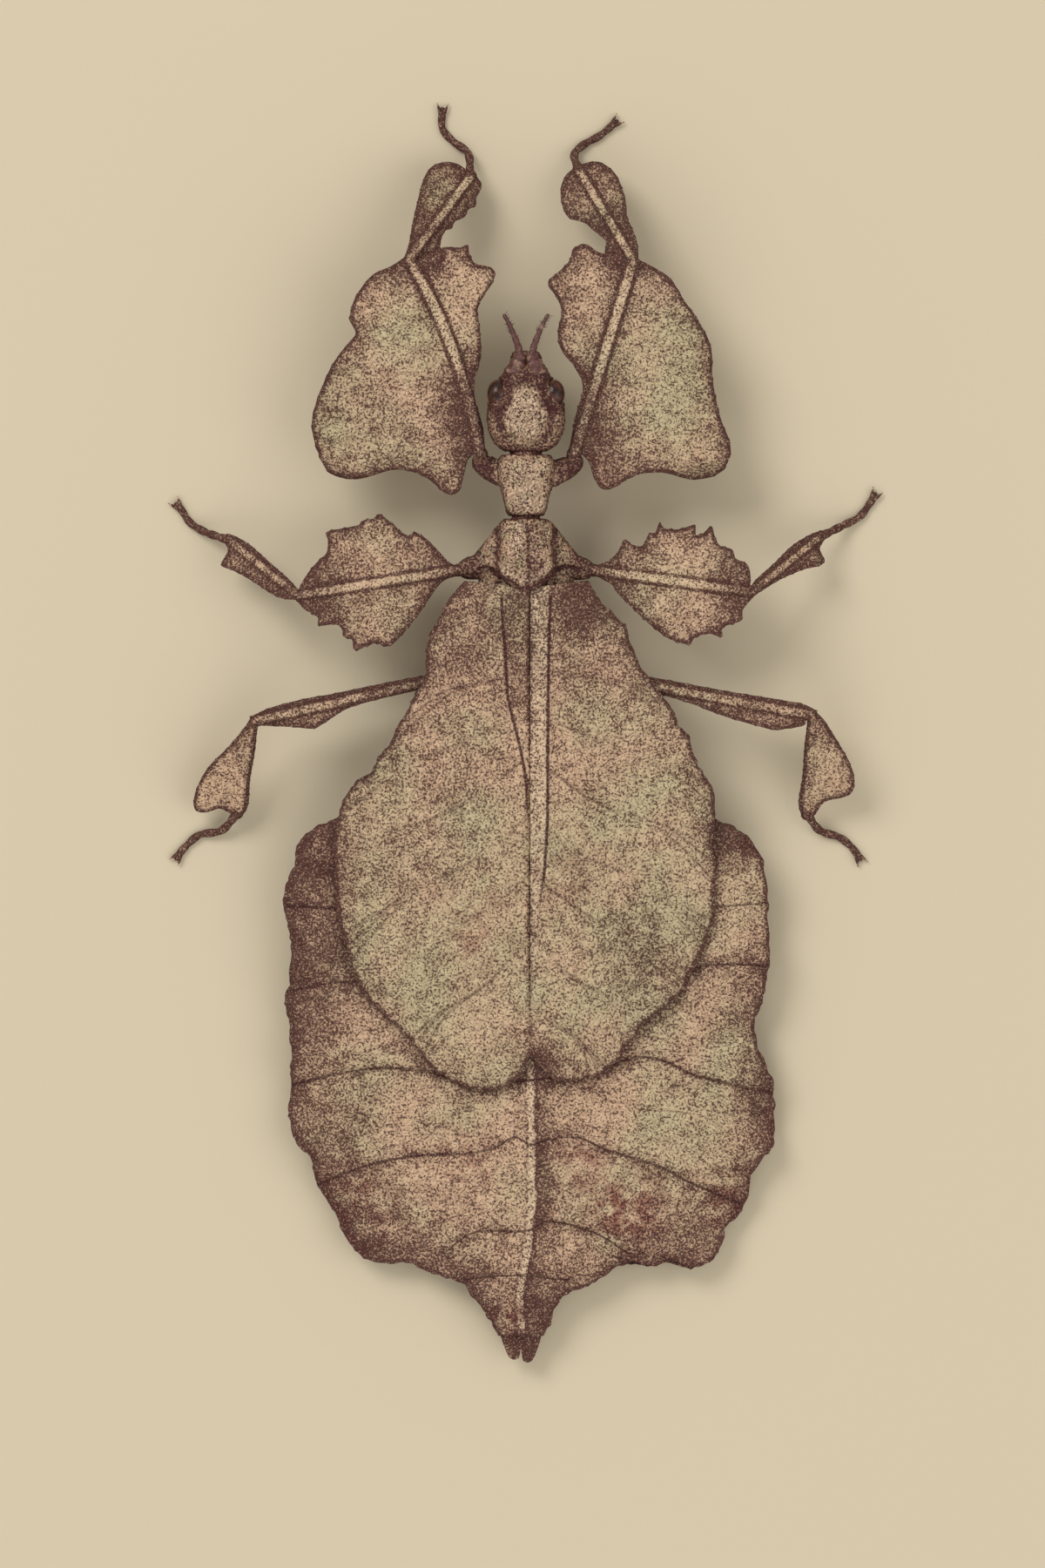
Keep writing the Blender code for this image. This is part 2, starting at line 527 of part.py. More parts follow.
def make_thorax():
    pronotum = loft("pronotum", [section(*row) for row in PRONOTUM], TAN)
    mesothorax = loft("mesothorax", [section(*row, fullness=MESONOTUM_FULLNESS) for row in MESONOTUM], TAN)
    flanks = loft("flanks", [section(*row, fullness=FLANK_FULLNESS) for row in MESO_FLANKS], TAN)
    fuse(mesothorax, flanks, make_scutellum())
    rings = []
    for y, half_width, low in METATHORAX:
        ring = section(y, half_width, low, back(0, y))
        ring[:, 2] = np.minimum(ring[:, 2], back(ring[:, 0], y))
        rings.append(ring)
    return pronotum, mesothorax, loft("metathorax", rings, TAN)


def beads(joints, widest, narrowest, swell=0.05):
    """Radii along a jointed feeler or foot: each joint swells at its far end, and the last is a tip."""
    radii = [widest]
    for k in range(joints):
        core = widest + (narrowest - widest) * k / joints
        radii += [core - swell, core + swell]
    return radii


def make_antenna(side, sign, head):
    """Nine joints: a thick one at the root, then a fine thread of like ones."""
    path = [(sign * x, y, z) for x, y, z in ANTENNA_LINE]
    radii = beads(ANTENNA_JOINTS, *ANTENNA_RADII)
    radii[:len(ANTENNA_ROOT)] = ANTENNA_ROOT
    radii[-1] = ANTENNA_TIP
    line = through(path, len(radii))
    cut_clear(tube(f"antenna_{side}", line, radii, MAROON), head)


def make_mouthparts(head):
    """The lip and jaws below the front of the head, with a pair of palps."""
    mouth = ball("mouthparts", MOUTH, MOUTH_SIZE, TAN, 7)
    pieces = []
    for sign in (1, -1):
        pieces.append(ball(f"jaw_{sign}", (sign * JAW[0], *JAW[1:]), JAW_SIZE, TAN, 5))
        palp = through([(sign * x, y, z) for x, y, z in PALP_LINE], len(PALP_RADII))
        pieces.append(tube(f"palp_{sign}", palp, PALP_RADII, TAN, 6))
    fuse(mouth, *pieces)
    cut_clear(mouth, head)


def make_head():
    head = loft("head", [section(*row, sides=24, fullness=HEAD_FULLNESS) for row in HEAD], TAN)
    for side, sign in (("left", 1), ("right", -1)):
        x, y, z = EYE_PLACE
        eye = ball(f"eye_{side}", (sign * x, y, z), EYE_SIZE, EYE_COLOUR, 11, 0.2)
        cut_clear(eye, head)
        make_antenna(side, sign, head)
    make_mouthparts(head)


def edge_points(kind, listed, feet, length):
    """One edge of a leg's blade in its own terms, between its feet beside the two joints."""
    to_mm = np.array([length, 1.0])
    edge = through(np.array([feet[0], *listed, feet[1]]) * to_mm, BLADE_ROWS[kind]) / to_mm
    if kind in TEETH:
        first, last, step, height = TEETH[kind]
        edge[first:last:step, 1] += height
    return edge


def lean_at(t, skew, length):
    """How far a row of a blade stands askew, so that its end rows lie along the bevelled joints."""
    near_end = max(0, 1 - t * length / BEVEL_FADE)
    far_end = max(0, 1 - (1 - t) * length / BEVEL_FADE)
    return skew[0] * near_end + skew[1] * far_end


def blade_row(t, middle, lean, shaft, edges, steps):
    """One row across a blade: its plan in the segment's own terms, and its half thickness."""
    hem = HEM if 0 < t < 1 else 0.0
    sides = []
    for sign, edge in zip((-1, 1), edges):
        shoulder = np.array([t + sign * SHOULDER_WIDTH * lean, middle + sign * SHOULDER_WIDTH * shaft])
        foot = np.array([t + sign * lean, middle + sign * shaft])
        rim = np.array([edge[0], sign * max(edge[1], shaft + hem)])
        sides.append([shoulder, foot, *[foot + step * (rim - foot) for step in steps]])
    thin = [LOBE_THICK / 2] * (1 + len(steps))
    shoulder_half = SHOULDER_HEIGHT * shaft
    half = [*thin, shoulder_half, shaft, shoulder_half, *thin]
    return [*reversed(sides[0]), np.array([t, middle]), *sides[1]], half


def make_blade(segment, leg, side, upper, lower, turns):
    """A leg segment: a round shaft with thin leaf-like lobes on both sides."""
    kind = f"{segment}_{leg}"
    name = f"{kind}_{side}"
    shaft = SHAFTS[kind]
    run = (lower - upper)[:2]
    length = np.linalg.norm(run)
    out = np.array([-run[1], run[0]]) / length * (1 if side == "left" else -1)
    skew = [math.tan(turn) * shaft / length for turn in turns]
    front = edge_points(kind, FRONT[name], [(-skew[0], shaft), (1 - skew[1], shaft)], length)
    rear = edge_points(kind, REAR[name], [(skew[0], shaft), (1 + skew[1], shaft)], length)
    rows, halves = [], []
    for t, *edges in zip(np.linspace(0, 1, BLADE_ROWS[kind]), front, rear):
        middle = -4 * BLADE_BOW.get(name, 0.0) * t * (1 - t)
        lean = lean_at(t, skew, length)
        row, half = blade_row(t, middle, lean, shaft, edges, BLADE_STEPS[kind])
        rows.append(row)
        halves.append(half)
    part, width = np.moveaxis(np.array(rows), 2, 0)
    plan = upper[:2] + part[..., None] * run + width[..., None] * out
    outward = np.abs(width) / BLADE_REACH
    level = upper[2] + (lower[2] - upper[2]) * np.clip(part, 0, 1)
    level += outward**2 * (BLADE_RIPPLE * np.sin(BLADE_WAVES * part) - BLADE_DROOP)
    half = np.array(halves)
    return sheet(name, with_height(plan, level + half), with_height(plan, level - half), OLIVE)


def make_claws(root, tip):
    """The pair of hooked claws at the end of a foot."""
    claws = []
    for turn in (CLAW_SPREAD, -CLAW_SPREAD):
        aim = math.atan2(tip[1] - root[1], tip[0] - root[0])
        knuckle = aim + CLAW_HOOK * turn
        bend = CLAW_LENGTH / 2 * np.array([math.cos(knuckle), math.sin(knuckle), CLAW_LIFT])
        far = CLAW_LENGTH * np.array([math.cos(aim + turn), math.sin(aim + turn), 0.0])
        claws.append(tube("claw", [root, tip + bend, tip + far], CLAW_RADII, MAROON, 6))
    return claws


def make_tarsus(leg, side, ankle, tibia):
    """The five-jointed foot, laid on the floor by flats under its last joints."""
    points = [ankle, *[(*place, z) for place, z in zip(TOES[f"{leg}_{side}"], TOE_HEIGHTS)]]
    radii = beads(TARSUS_JOINTS, *TARSUS_RADII)
    path = through(points, len(radii))
    foot = cut_clear(tube(f"tarsus_{leg}_{side}", path, radii, MAROON), tibia)
    fuse(foot, *make_claws(path[-2], path[-1]))
    for vert in foot.data.vertices:
        vert.co.z = max(vert.co.z, 0.0)


def make_leg(leg, side, thorax):
    """One leg, from the coxa at the thorax to the claws."""
    heights = (HIPS[leg], KNEES[leg], ANKLES[leg])
    hip, knee, ankle = [np.array([*place, z]) for place, z in zip(JOINTS[f"{leg}_{side}"], heights)]
    thigh = (knee - hip) / np.linalg.norm(knee - hip)
    shin = (ankle - knee) / np.linalg.norm(ankle - knee)
    bend = math.atan2(thigh[0] * shin[1] - thigh[1] * shin[0], thigh[:2] @ shin[:2])
    bend *= 1 if side == "left" else -1
    half_gap = GAP / 2 / math.cos(bend / 2)
    root_x, root_y = COXA_ROOTS[leg]
    root = (root_x if side == "left" else -root_x, root_y, HIPS[leg])
    coxa_line = [root, hip - thigh * COXA_ELBOW, hip - thigh * GAP]
    cut_clear(tube(f"coxa_{leg}_{side}", coxa_line, COXA_RADII, TAN, 10), thorax)
    make_blade("femur", leg, side, hip, knee - thigh * half_gap, (0.0, -bend / 2))
    tibia = make_blade("tibia", leg, side, knee + shin * half_gap, ankle, (bend / 2, 0.0))
    make_tarsus(leg, side, ankle - shin * ANKLE_DEPTH, tibia)


def main():
    make_abdomen()
    make_tail()
    for side in ("left", "right"):
        make_cercus(side)
    make_wing("left", WING_LEFT)
    make_wing("right", WING_RIGHT)
    make_head()
    roots = dict(zip(("fore", "mid", "hind"), make_thorax()))
    for leg, thorax in roots.items():
        for side in ("left", "right"):
            make_leg(leg, side, thorax)


clear_scene()
PARTS = new_collection("leaf_insect")
main()
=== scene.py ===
"""The looks of a leaf insect, an adult female of Phyllium siccifolium, on its solid frame.

Lengths are in millimetres until a mesh is made of them, which takes metres. The head
points along -Y, the insect's left side is +X and the floor is z = 0.
"""

import math

import bmesh
import bpy
import numpy as np
from mathutils.kdtree import KDTree
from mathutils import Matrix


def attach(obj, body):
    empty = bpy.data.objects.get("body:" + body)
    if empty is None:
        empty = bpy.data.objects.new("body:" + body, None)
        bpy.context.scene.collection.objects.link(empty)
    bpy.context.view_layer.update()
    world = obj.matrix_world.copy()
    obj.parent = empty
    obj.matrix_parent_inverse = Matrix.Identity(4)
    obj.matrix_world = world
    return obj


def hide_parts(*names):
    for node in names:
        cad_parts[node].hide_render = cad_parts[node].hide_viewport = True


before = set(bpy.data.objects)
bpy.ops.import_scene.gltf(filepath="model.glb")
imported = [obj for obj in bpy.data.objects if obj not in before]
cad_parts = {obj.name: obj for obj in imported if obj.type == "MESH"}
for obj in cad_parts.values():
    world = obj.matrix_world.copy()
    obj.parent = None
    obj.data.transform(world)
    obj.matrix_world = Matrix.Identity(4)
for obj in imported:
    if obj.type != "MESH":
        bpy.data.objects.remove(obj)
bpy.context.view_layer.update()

MM = 0.001
GAP = 0.3
MERGE = 1e-6
SIDES = {"left": 1, "right": -1}

# The body's line, as the solids have it.
LOBE_HEIGHT = 6.2
LOBE_SLOPE = 0.08
LOBE_DROOP = 1.3
LOBE_REACH = 20.0
LOBE_THICK = 0.5
RIPPLE_HEIGHT = 0.4
RIPPLE_LENGTH = 8.5
CORE_WIDTH = 6.0
KEEL_WIDTH = 4.5
CORE_RISE = [(-13.0, 0.8), (0.0, 1.3), (20.0, 1.3), (46.0, 0.9), (52.0, 0.3)]
KEEL_DEPTH = [(-4.0, 2.0), (10.0, 2.7), (27.0, 2.7), (36.0, 3.7), (41.5, 3.4), (46.5, 1.5), (52.0, 0.3)]

# Leaf-like edges: how thin they get, over what distance, and how uneven they are.
EDGE_HALF = 0.07
EDGE_SOFT = 0.9
ROUGH_HEIGHT = 0.07
ROUGH_LENGTH = 0.9

# The abdomen's margins, then the last segment's and the two cerci.
MARGIN_LEFT = [
    (2.4, -3.3), (9, 1.2), (15.2, 6.6), (17.5, 8.1), (18.9, 8.9), (19.5, 10.8), (20.3, 13.3), (20.5, 15),
    (20.1, 16.7), (19.8, 18.6), (20, 20.7), (20.4, 22.8), (20, 25.5), (19.9, 28), (20, 31.9), (19.9, 33.8),
    (19.2, 35.3), (18.3, 36), (18, 37.7), (17, 39.5), (16.1, 40.9), (15.6, 42.3), (14.7, 43.6), (13.5, 44.7),
    (11.8, 45.1), (9.6, 45.1), (8.1, 45.8), (6.7, 46.3), (5.2, 46.9)]
MARGIN_RIGHT = [
    (-2.4, -3.3), (-9, 1.2), (-15.2, 6.8), (-17.6, 8.1), (-18.8, 9.1), (-19.8, 10.6), (-20.3, 12.8), (-20.5, 15.7),
    (-20.6, 19.1), (-20.3, 21.6), (-19.8, 23.5), (-19.4, 25.5), (-20, 27.5), (-20.8, 29.4), (-21.1, 31.4),
    (-21, 33.3), (-20.8, 35.1), (-19.8, 36.5), (-19, 37.7), (-18.8, 39.3), (-18.2, 40.7), (-17.1, 41.9),
    (-16.6, 43.5), (-15.4, 45.1), (-13.7, 45.5), (-12, 45), (-10.7, 45.3), (-9.5, 45.2), (-7.8, 45.3), (-6.7, 46.1),
    (-4.6, 47.2)]
MIDDLE_LINE = [(0.0, -3.3), (0.0, 20.0), (0.3, 46.4)]
TAIL_LEFT = [(5.0, 47.1), (4.1, 48.3), (3.0, 50.0), (2.35, 51.2)]
TAIL_RIGHT = [(-3.9, 47.4), (-3.1, 48.0), (-2.2, 49.6), (-1.5, 51.2)]
TAIL_MIDDLE = [(0.3, 46.7), (0.35, 51.2)]
ABDOMEN_ROWS = 205
TAIL_ROWS = 26
ABDOMEN_COLUMNS = 98
CERCUS_HALF = [(0.0, 0.98), (0.45, 0.8), (0.8, 0.56), (0.95, 0.38), (1.0, 0.1)]
CERCUS_THICK = 0.27
CERCI = {"left": [(1.35, 50.6), (0.98, 53.25)], "right": [(-0.5, 50.6), (-0.12, 53.5)]}

# The lines between the abdomen's segments, from the left margin to the right one, and its midrib.
SUTURES = [
    [(9.5, 1), (0, 2), (-9.5, 1)],
    [(15.6, 7.4), (5, 8.6), (-5, 8.6), (-15.6, 7.4)],
    [(20.5, 14.8), (6, 15.4), (-6, 15.4), (-20.5, 14.6)],
    [(20, 22), (14.6, 21.2), (4, 22), (-6, 21.6), (-15.1, 19.8), (-20.6, 19.8)],
    [
        (20, 30), (15.9, 29), (10.9, 28.5), (3, 29.6), (-4, 29), (-9.2, 27.6), (-11.7, 27.9), (-14.2, 29.1),
        (-17.9, 30), (-20.9, 30.7)],
    [
        (17.6, 38.4), (13.2, 36.7), (9, 35.9), (5, 35.7), (2.6, 35.2), (1, 34.2), (-0.4, 35), (-1.5, 34.6),
        (-4.3, 34.3), (-6.8, 35.4), (-11.1, 36.8), (-13.8, 38.2), (-18.3, 40.2)],
    [(6.9, 44.3), (5.3, 42.9), (3.7, 42.3), (0.1, 42.3), (-1.8, 41.5), (-4.3, 41.9), (-6.8, 43), (-8.6, 44.3)],
    [(5, 46.4), (2.6, 46.1), (0.1, 46.1), (-3.3, 46.4)],
]
MIDRIB = [(-0.2, 26.0), (-0.4, 30.0), (-0.5, 39.0), (-0.1, 44.0), (0.5, 47.5), (0.35, 51.0)]
SUTURE_DEPTH = 0.13
SUTURE_HALF = 0.16
MIDRIB_RISE = 0.1
MIDRIB_HALF = 0.4
VEIN_PITCH = 2.8
LOBE_WAVE = 0.22
LOBE_WAVE_LENGTH = 4.6

# The tegmina, their edges, veins and the fold along their seam.
SEAM = -0.35
SEAM_GAP = 0.012
WING_THICK = 0.5
WING_FRONT = -12.0
WING_NOTCH = 27.4
WING_LEFT = [
    (5.2, -12.6), (7.3, -9.8), (8.4, -7), (8.7, -4.4), (10.8, -0.3), (13, 3.2), (15.3, 5.7), (16.2, 10.8),
    (15.6, 16.8), (13.8, 22), (10.3, 25.5), (7.9, 28.5), (5, 30.1), (2.6, 30.2), (0.6, 29.2)]
WING_RIGHT = [
    (-5.2, -12.6), (-6.4, -10.8), (-8.2, -9), (-9.5, -5.7), (-11.6, -2.8), (-13.8, 0.9), (-14.6, 3), (-15.9, 5.6),
    (-15.8, 9), (-16, 13), (-15.4, 17), (-13.2, 21.8), (-9.6, 25.2), (-7.4, 28.2), (-4.8, 29.5), (-2.6, 29.4),
    (-1.2, 28.3)]
WING_OUTLINES = {"left": WING_LEFT, "right": WING_RIGHT}
WING_SEEDS = {"left": 31, "right": 41}
WING_SPREAD = 0.9
WING_ROWS = 290
WING_COLUMNS = 150
WING_LIFT = 0.3
SIDE_VEINS = [0.14, 0.25, 0.36, 0.48, 0.6, 0.74, 0.86]
MAIN_VEIN = {
    "left": [(0, 2.4), (0.13, 2.32), (0.2, 2.2), (0.264, 1.6), (0.33, 0.95), (0.41, 0.35), (1, 0.2)],
    "right": [(0, 1.7), (0.2, 1.65), (0.47, 1.75), (0.58, 1.5), (0.67, 0.95), (0.75, 0.8), (1, 0.4)],
}
MAIN_END = {"left": (4.0, 9.0), "right": (11.0, 17.0)}
MAIN_RISE = -0.07
MAIN_HALF = 0.2
VEIN_DRAWN = 0.36
SIDE_RISE = 0.11
SIDE_HALF = 0.14
FORK_START = 0.5
FORK_SPREAD = 0.036
BAND_RISE = {"left": -0.12, "right": 0.16}

# Sections of the head and thorax: place along the body, half width, lowest and highest point.
HEAD = [
    (-23.5, 1.8, 5.9, 8.7), (-24.1, 2.6, 5.3, 9.3), (-25.2, 3.15, 4.9, 9.8), (-26.6, 3.3, 4.7, 10.1),
    (-27.8, 3.05, 4.7, 10), (-28.8, 2.6, 4.7, 9.7), (-29.8, 2.1, 4.8, 9.2), (-30.7, 1.6, 5.1, 8.4),
    (-31.2, 1, 5.5, 7.6)]
PRONOTUM = [
    (-23.2, 2.1, 5.8, 8.7), (-22.6, 2.4, 5.4, 9), (-21.4, 2.45, 5.2, 9.1), (-19.8, 2, 5.2, 8.9),
    (-18.5, 1.7, 5.4, 8.8), (-18.1, 1.5, 5.6, 8.6)]
MESONOTUM = [
    (-17.8, 1.8, 6, 8.8), (-17.3, 2.3, 6, 9.2), (-16, 2.45, 6, 9.5), (-14, 2.5, 6, 9.7), (-12.95, 2.4, 6, 9.4)]
MESO_FLANKS = [
    (-17.75, 1.6, 5.6, 7.6), (-17.2, 2.5, 5.1, 7.9), (-16, 3.4, 4.6, 8.2), (-14.9, 4.3, 4.5, 8),
    (-13.9, 4.6, 4.6, 7.8), (-12.95, 4.2, 4.8, 7.6)]
METATHORAX = [
    (-13.1, 3.8, 4.8), (-12.65, 4, 4.7), (-11, 3.9, 4.4), (-8, 3.7, 4.2), (-5.5, 3.9, 4.1), (-3.65, 2.9, 4.2),
    (-2.6, 2.2, 4.3)]
NECKS = [((0, -24.4, 7.3), (0, -22.4, 7.2), 1.45), ((0, -18.6, 7.2), (0, -17.0, 7.3), 1.35)]
SCUTELLUM = [
    (-14.7, 1, 0.3), (-13.9, 1.9, 0.45), (-13.2, 2.15, 0.52), (-12.6, 1.8, 0.5), (-12.1, 1.1, 0.45),
    (-11.7, 0.4, 0.35)]
HEAD_FULLNESS = 0.95
PRONOTUM_FULLNESS = 0.85
MESONOTUM_FULLNESS = 0.7
FLANK_FULLNESS = 1.1
SKIN_VOXEL = 0.093
SKIN_SMOOTHING = 5
VERTEX_OVAL = (0.05, -26.4, 1.85, 2.5)
SCUTELLUM_RIM = [
    (3.9, -13.6), (3.2, -13.8), (2.4, -13.1), (1.5, -12.6), (0.5, -12), (0.07, -11.85), (-0.8, -12.1),
    (-1.6, -12.6), (-2.1, -13.3), (-3.2, -13.8), (-4.4, -13.6)]
SCUTELLUM_FOLD = [
    (2.3, -13.9), (1.5, -13.2), (0.6, -12.75), (0, -12.6), (-0.8, -12.8), (-1.6, -13.3), (-2.2, -13.9)]
SCUTELLUM_CURL = [(-0.2, -14.1), (-0.45, -13.5), (-1.0, -13.4), (-1.4, -14.0)]
GRANULES = 1900
GRANULE_SIZE = 0.13
GRANULE_RISE = 0.06
TUBERCLES = [
    (0.55, -24.6, 0.3), (-0.55, -24.6, 0.3), (1.5, -25.1, 0.2), (-1.5, -25.1, 0.2), (3.1, -16.9, 0.22),
    (3.8, -16, 0.25), (4.5, -15.1, 0.25), (-3.1, -16.9, 0.22), (-3.8, -16, 0.25), (-4.5, -15.1, 0.25),
    (1.6, -22.5, 0.22), (-1.6, -22.5, 0.22)]

EYE_PLACE = (2.35, -28.3, 8.1)
EYE_SIZE = (0.9, 1.2, 1.1)
EYE_FACETS = 4
EYE_FINENESS = 6
FACET_RISE = 0.016
ANTENNA_LINE = [
    (0.98, -29.2, 7.9), (0.78, -30.5, 8.1), (0.52, -31.6, 8.2), (0.85, -32.8, 8.4), (1.4, -34.1, 8.5),
    (1.9, -35, 8.4)]
ANTENNA_JOINTS = 9
ANTENNA_WIDTH = [(0.0, 0.92), (0.14, 0.9), (0.36, 0.56), (0.42, 0.32), (1.0, 0.15)]
HAIRS = 46
HAIR_LENGTH = 0.32
HAIR_LEAN = 0.001
PALP_LINE = [(0.95, -30.6, 4.9), (1.15, -31.3, 4.5), (0.9, -31.9, 3.9), (0.6, -32.0, 3.5)]
LIP_PALP_LINE = [(0.4, -30.6, 4.5), (0.55, -31.2, 4.0), (0.3, -31.5, 3.6)]
MOUTH_PLATES = [((0.0, -31.0, 6.55), (1.15, 0.75, 0.55)), ((0.0, -31.45, 5.85), (0.95, 0.6, 0.75))]
JAWS = [((0.62, -31.15, 5.1), (0.55, 0.7, 0.8))]

# Each leg's joints from the hip to the ankle; the insect doesn't hold its two sides quite alike.
COXA_ROOTS = {"fore": (1.2, -21.2), "mid": (2.9, -14.0), "hind": (2.4, -5.5)}
COXA_ELBOW = 1.2
COXA_RADII = [(0.0, 1.15), (0.55, 1.0), (0.85, 0.85), (1.0, 0.8)]
HIPS = {"fore": 6.6, "mid": 6.2, "hind": 5.2}
KNEES = {"fore": 8.0, "mid": 7.0, "hind": 6.4}
ANKLES = {"fore": 2.2, "mid": 2.0, "hind": 1.8}
JOINTS = {
    "fore_left": [(3.9, -23.5), (9.8, -39.6), (4.5, -47.2)],
    "fore_right": [(-4.1, -23.5), (-9, -39.5), (-4.3, -47.8)],
    "mid_left": [(5.9, -13.5), (19.2, -11.4), (25.4, -16.4)],
    "mid_right": [(-5.9, -13.5), (-19, -11.7), (-25.2, -16.7)],
    "hind_left": [(5.3, -4.8), (22.9, -0.8), (24.4, 7.2)],
    "hind_right": [(-5.3, -4.8), (-24.1, -1.3), (-23.7, 7.3)],
}
TOES = {
    "fore_left": [(4.9, -49), (6.2, -50.1), (7.1, -51.2), (7.1, -52.7)],
    "fore_right": [(-4.1, -48.9), (-4.9, -49.8), (-6.3, -50.6), (-7.6, -51.7)],
    "mid_left": [(27.2, -16.9), (28.5, -17.7), (29.2, -18.7), (29.6, -19.2)],
    "mid_right": [(-27, -17.5), (-28.3, -18.2), (-29.1, -19.2), (-29.6, -20)],
    "hind_left": [(25.8, 8.4), (27.7, 8.8), (29, 9.9), (29.6, 10.7)],
    "hind_right": [(-24.9, 8.4), (-26.6, 9), (-27.7, 9.9), (-28.3, 10.8)],
}
TOE_HEIGHTS = (0.75, 0.3, 0.24, 0.22)

# The leaf-like edges of each segment: part of the way from its upper joint to its lower one, then width.
FRONT = {
    "femur_fore_left": [
        (0.12, 1), (0.31, 1.3), (0.43, 2.8), (0.57, 3.6), (0.65, 3.9), (0.7, 4.6), (0.75, 5.8), (0.8, 6.4),
        (0.84, 5.9), (0.87, 5.1), (0.92, 4.9), (0.97, 5), (0.97, 4.3), (1, 3), (0.99, 1.9)],
    "femur_fore_right": [
        (0.16, 0.8), (0.33, 0.9), (0.39, 1.6), (0.47, 3.6), (0.55, 4.3), (0.65, 4.5), (0.71, 5.2), (0.77, 6.3),
        (0.85, 5.6), (0.91, 5.1), (0.97, 5.1), (1.01, 4.2), (0.99, 2.9), (1, 1.6)],
    "tibia_fore_left": [
        (0.04, 1.5), (0.11, 2.2), (0.2, 2), (0.27, 1.4), (0.33, 1.15), (0.41, 1), (0.46, 1.3), (0.54, 1.2),
        (0.62, 1.6), (0.7, 1.5), (0.77, 1.8), (0.84, 1.4), (0.89, 1.4), (0.97, 1.1)],
    "tibia_fore_right": [
        (0.04, 1.3), (0.1, 1.9), (0.19, 1.7), (0.26, 1.2), (0.32, 1.2), (0.4, 1.5), (0.52, 1.9), (0.63, 2.8),
        (0.77, 2.7), (0.9, 2.1), (0.98, 1.2)],
    "femur_mid_left": [
        (0.04, 0.9), (0.1, 2.1), (0.15, 3), (0.22, 3.8), (0.24, 3.5), (0.29, 3.8), (0.35, 4.8), (0.42, 5.7),
        (0.46, 5.4), (0.52, 5.4), (0.55, 5.1), (0.63, 5), (0.76, 4.9), (0.76, 4.3), (0.78, 3.2), (0.84, 2.6),
        (0.91, 1.8), (0.97, 0.9)],
    "femur_mid_right": [
        (0.07, 1), (0.12, 1.8), (0.15, 2.9), (0.2, 2.6), (0.27, 2.6), (0.3, 3.6), (0.34, 3.9), (0.36, 4.7),
        (0.4, 4.3), (0.49, 4.4), (0.58, 4.9), (0.6, 4.1), (0.64, 4.3), (0.69, 5), (0.72, 4.2), (0.76, 3.5),
        (0.84, 3.3), (0.87, 2.6), (0.95, 2.2), (0.98, 1.2)],
    "tibia_mid_left": [(0.2, 0.6), (0.49, 0.7), (0.74, 0.8), (0.92, 0.6)],
    "tibia_mid_right": [(0.13, 0.6), (0.38, 0.7), (0.64, 0.9), (0.87, 0.7)],
    "femur_hind_left": [(0.3, 0.7), (0.61, 0.8), (0.72, 0.9), (0.82, 0.9), (0.92, 0.8)],
    "femur_hind_right": [(0.3, 0.7), (0.59, 0.7), (0.84, 0.8), (0.95, 0.8)],
    "tibia_hind_left": [
        (0.1, 0.8), (0.33, 1.9), (0.54, 3.1), (0.77, 3.8), (0.95, 3.9), (1.03, 3.5), (1.02, 2.6), (0.96, 1.7),
        (0.98, 0.9)],
    "tibia_hind_right": [
        (0.05, 1.1), (0.26, 2.4), (0.42, 3.3), (0.59, 3.9), (0.73, 3.8), (0.79, 3), (0.83, 1.7), (0.9, 1.1),
        (0.97, 0.8)],
}
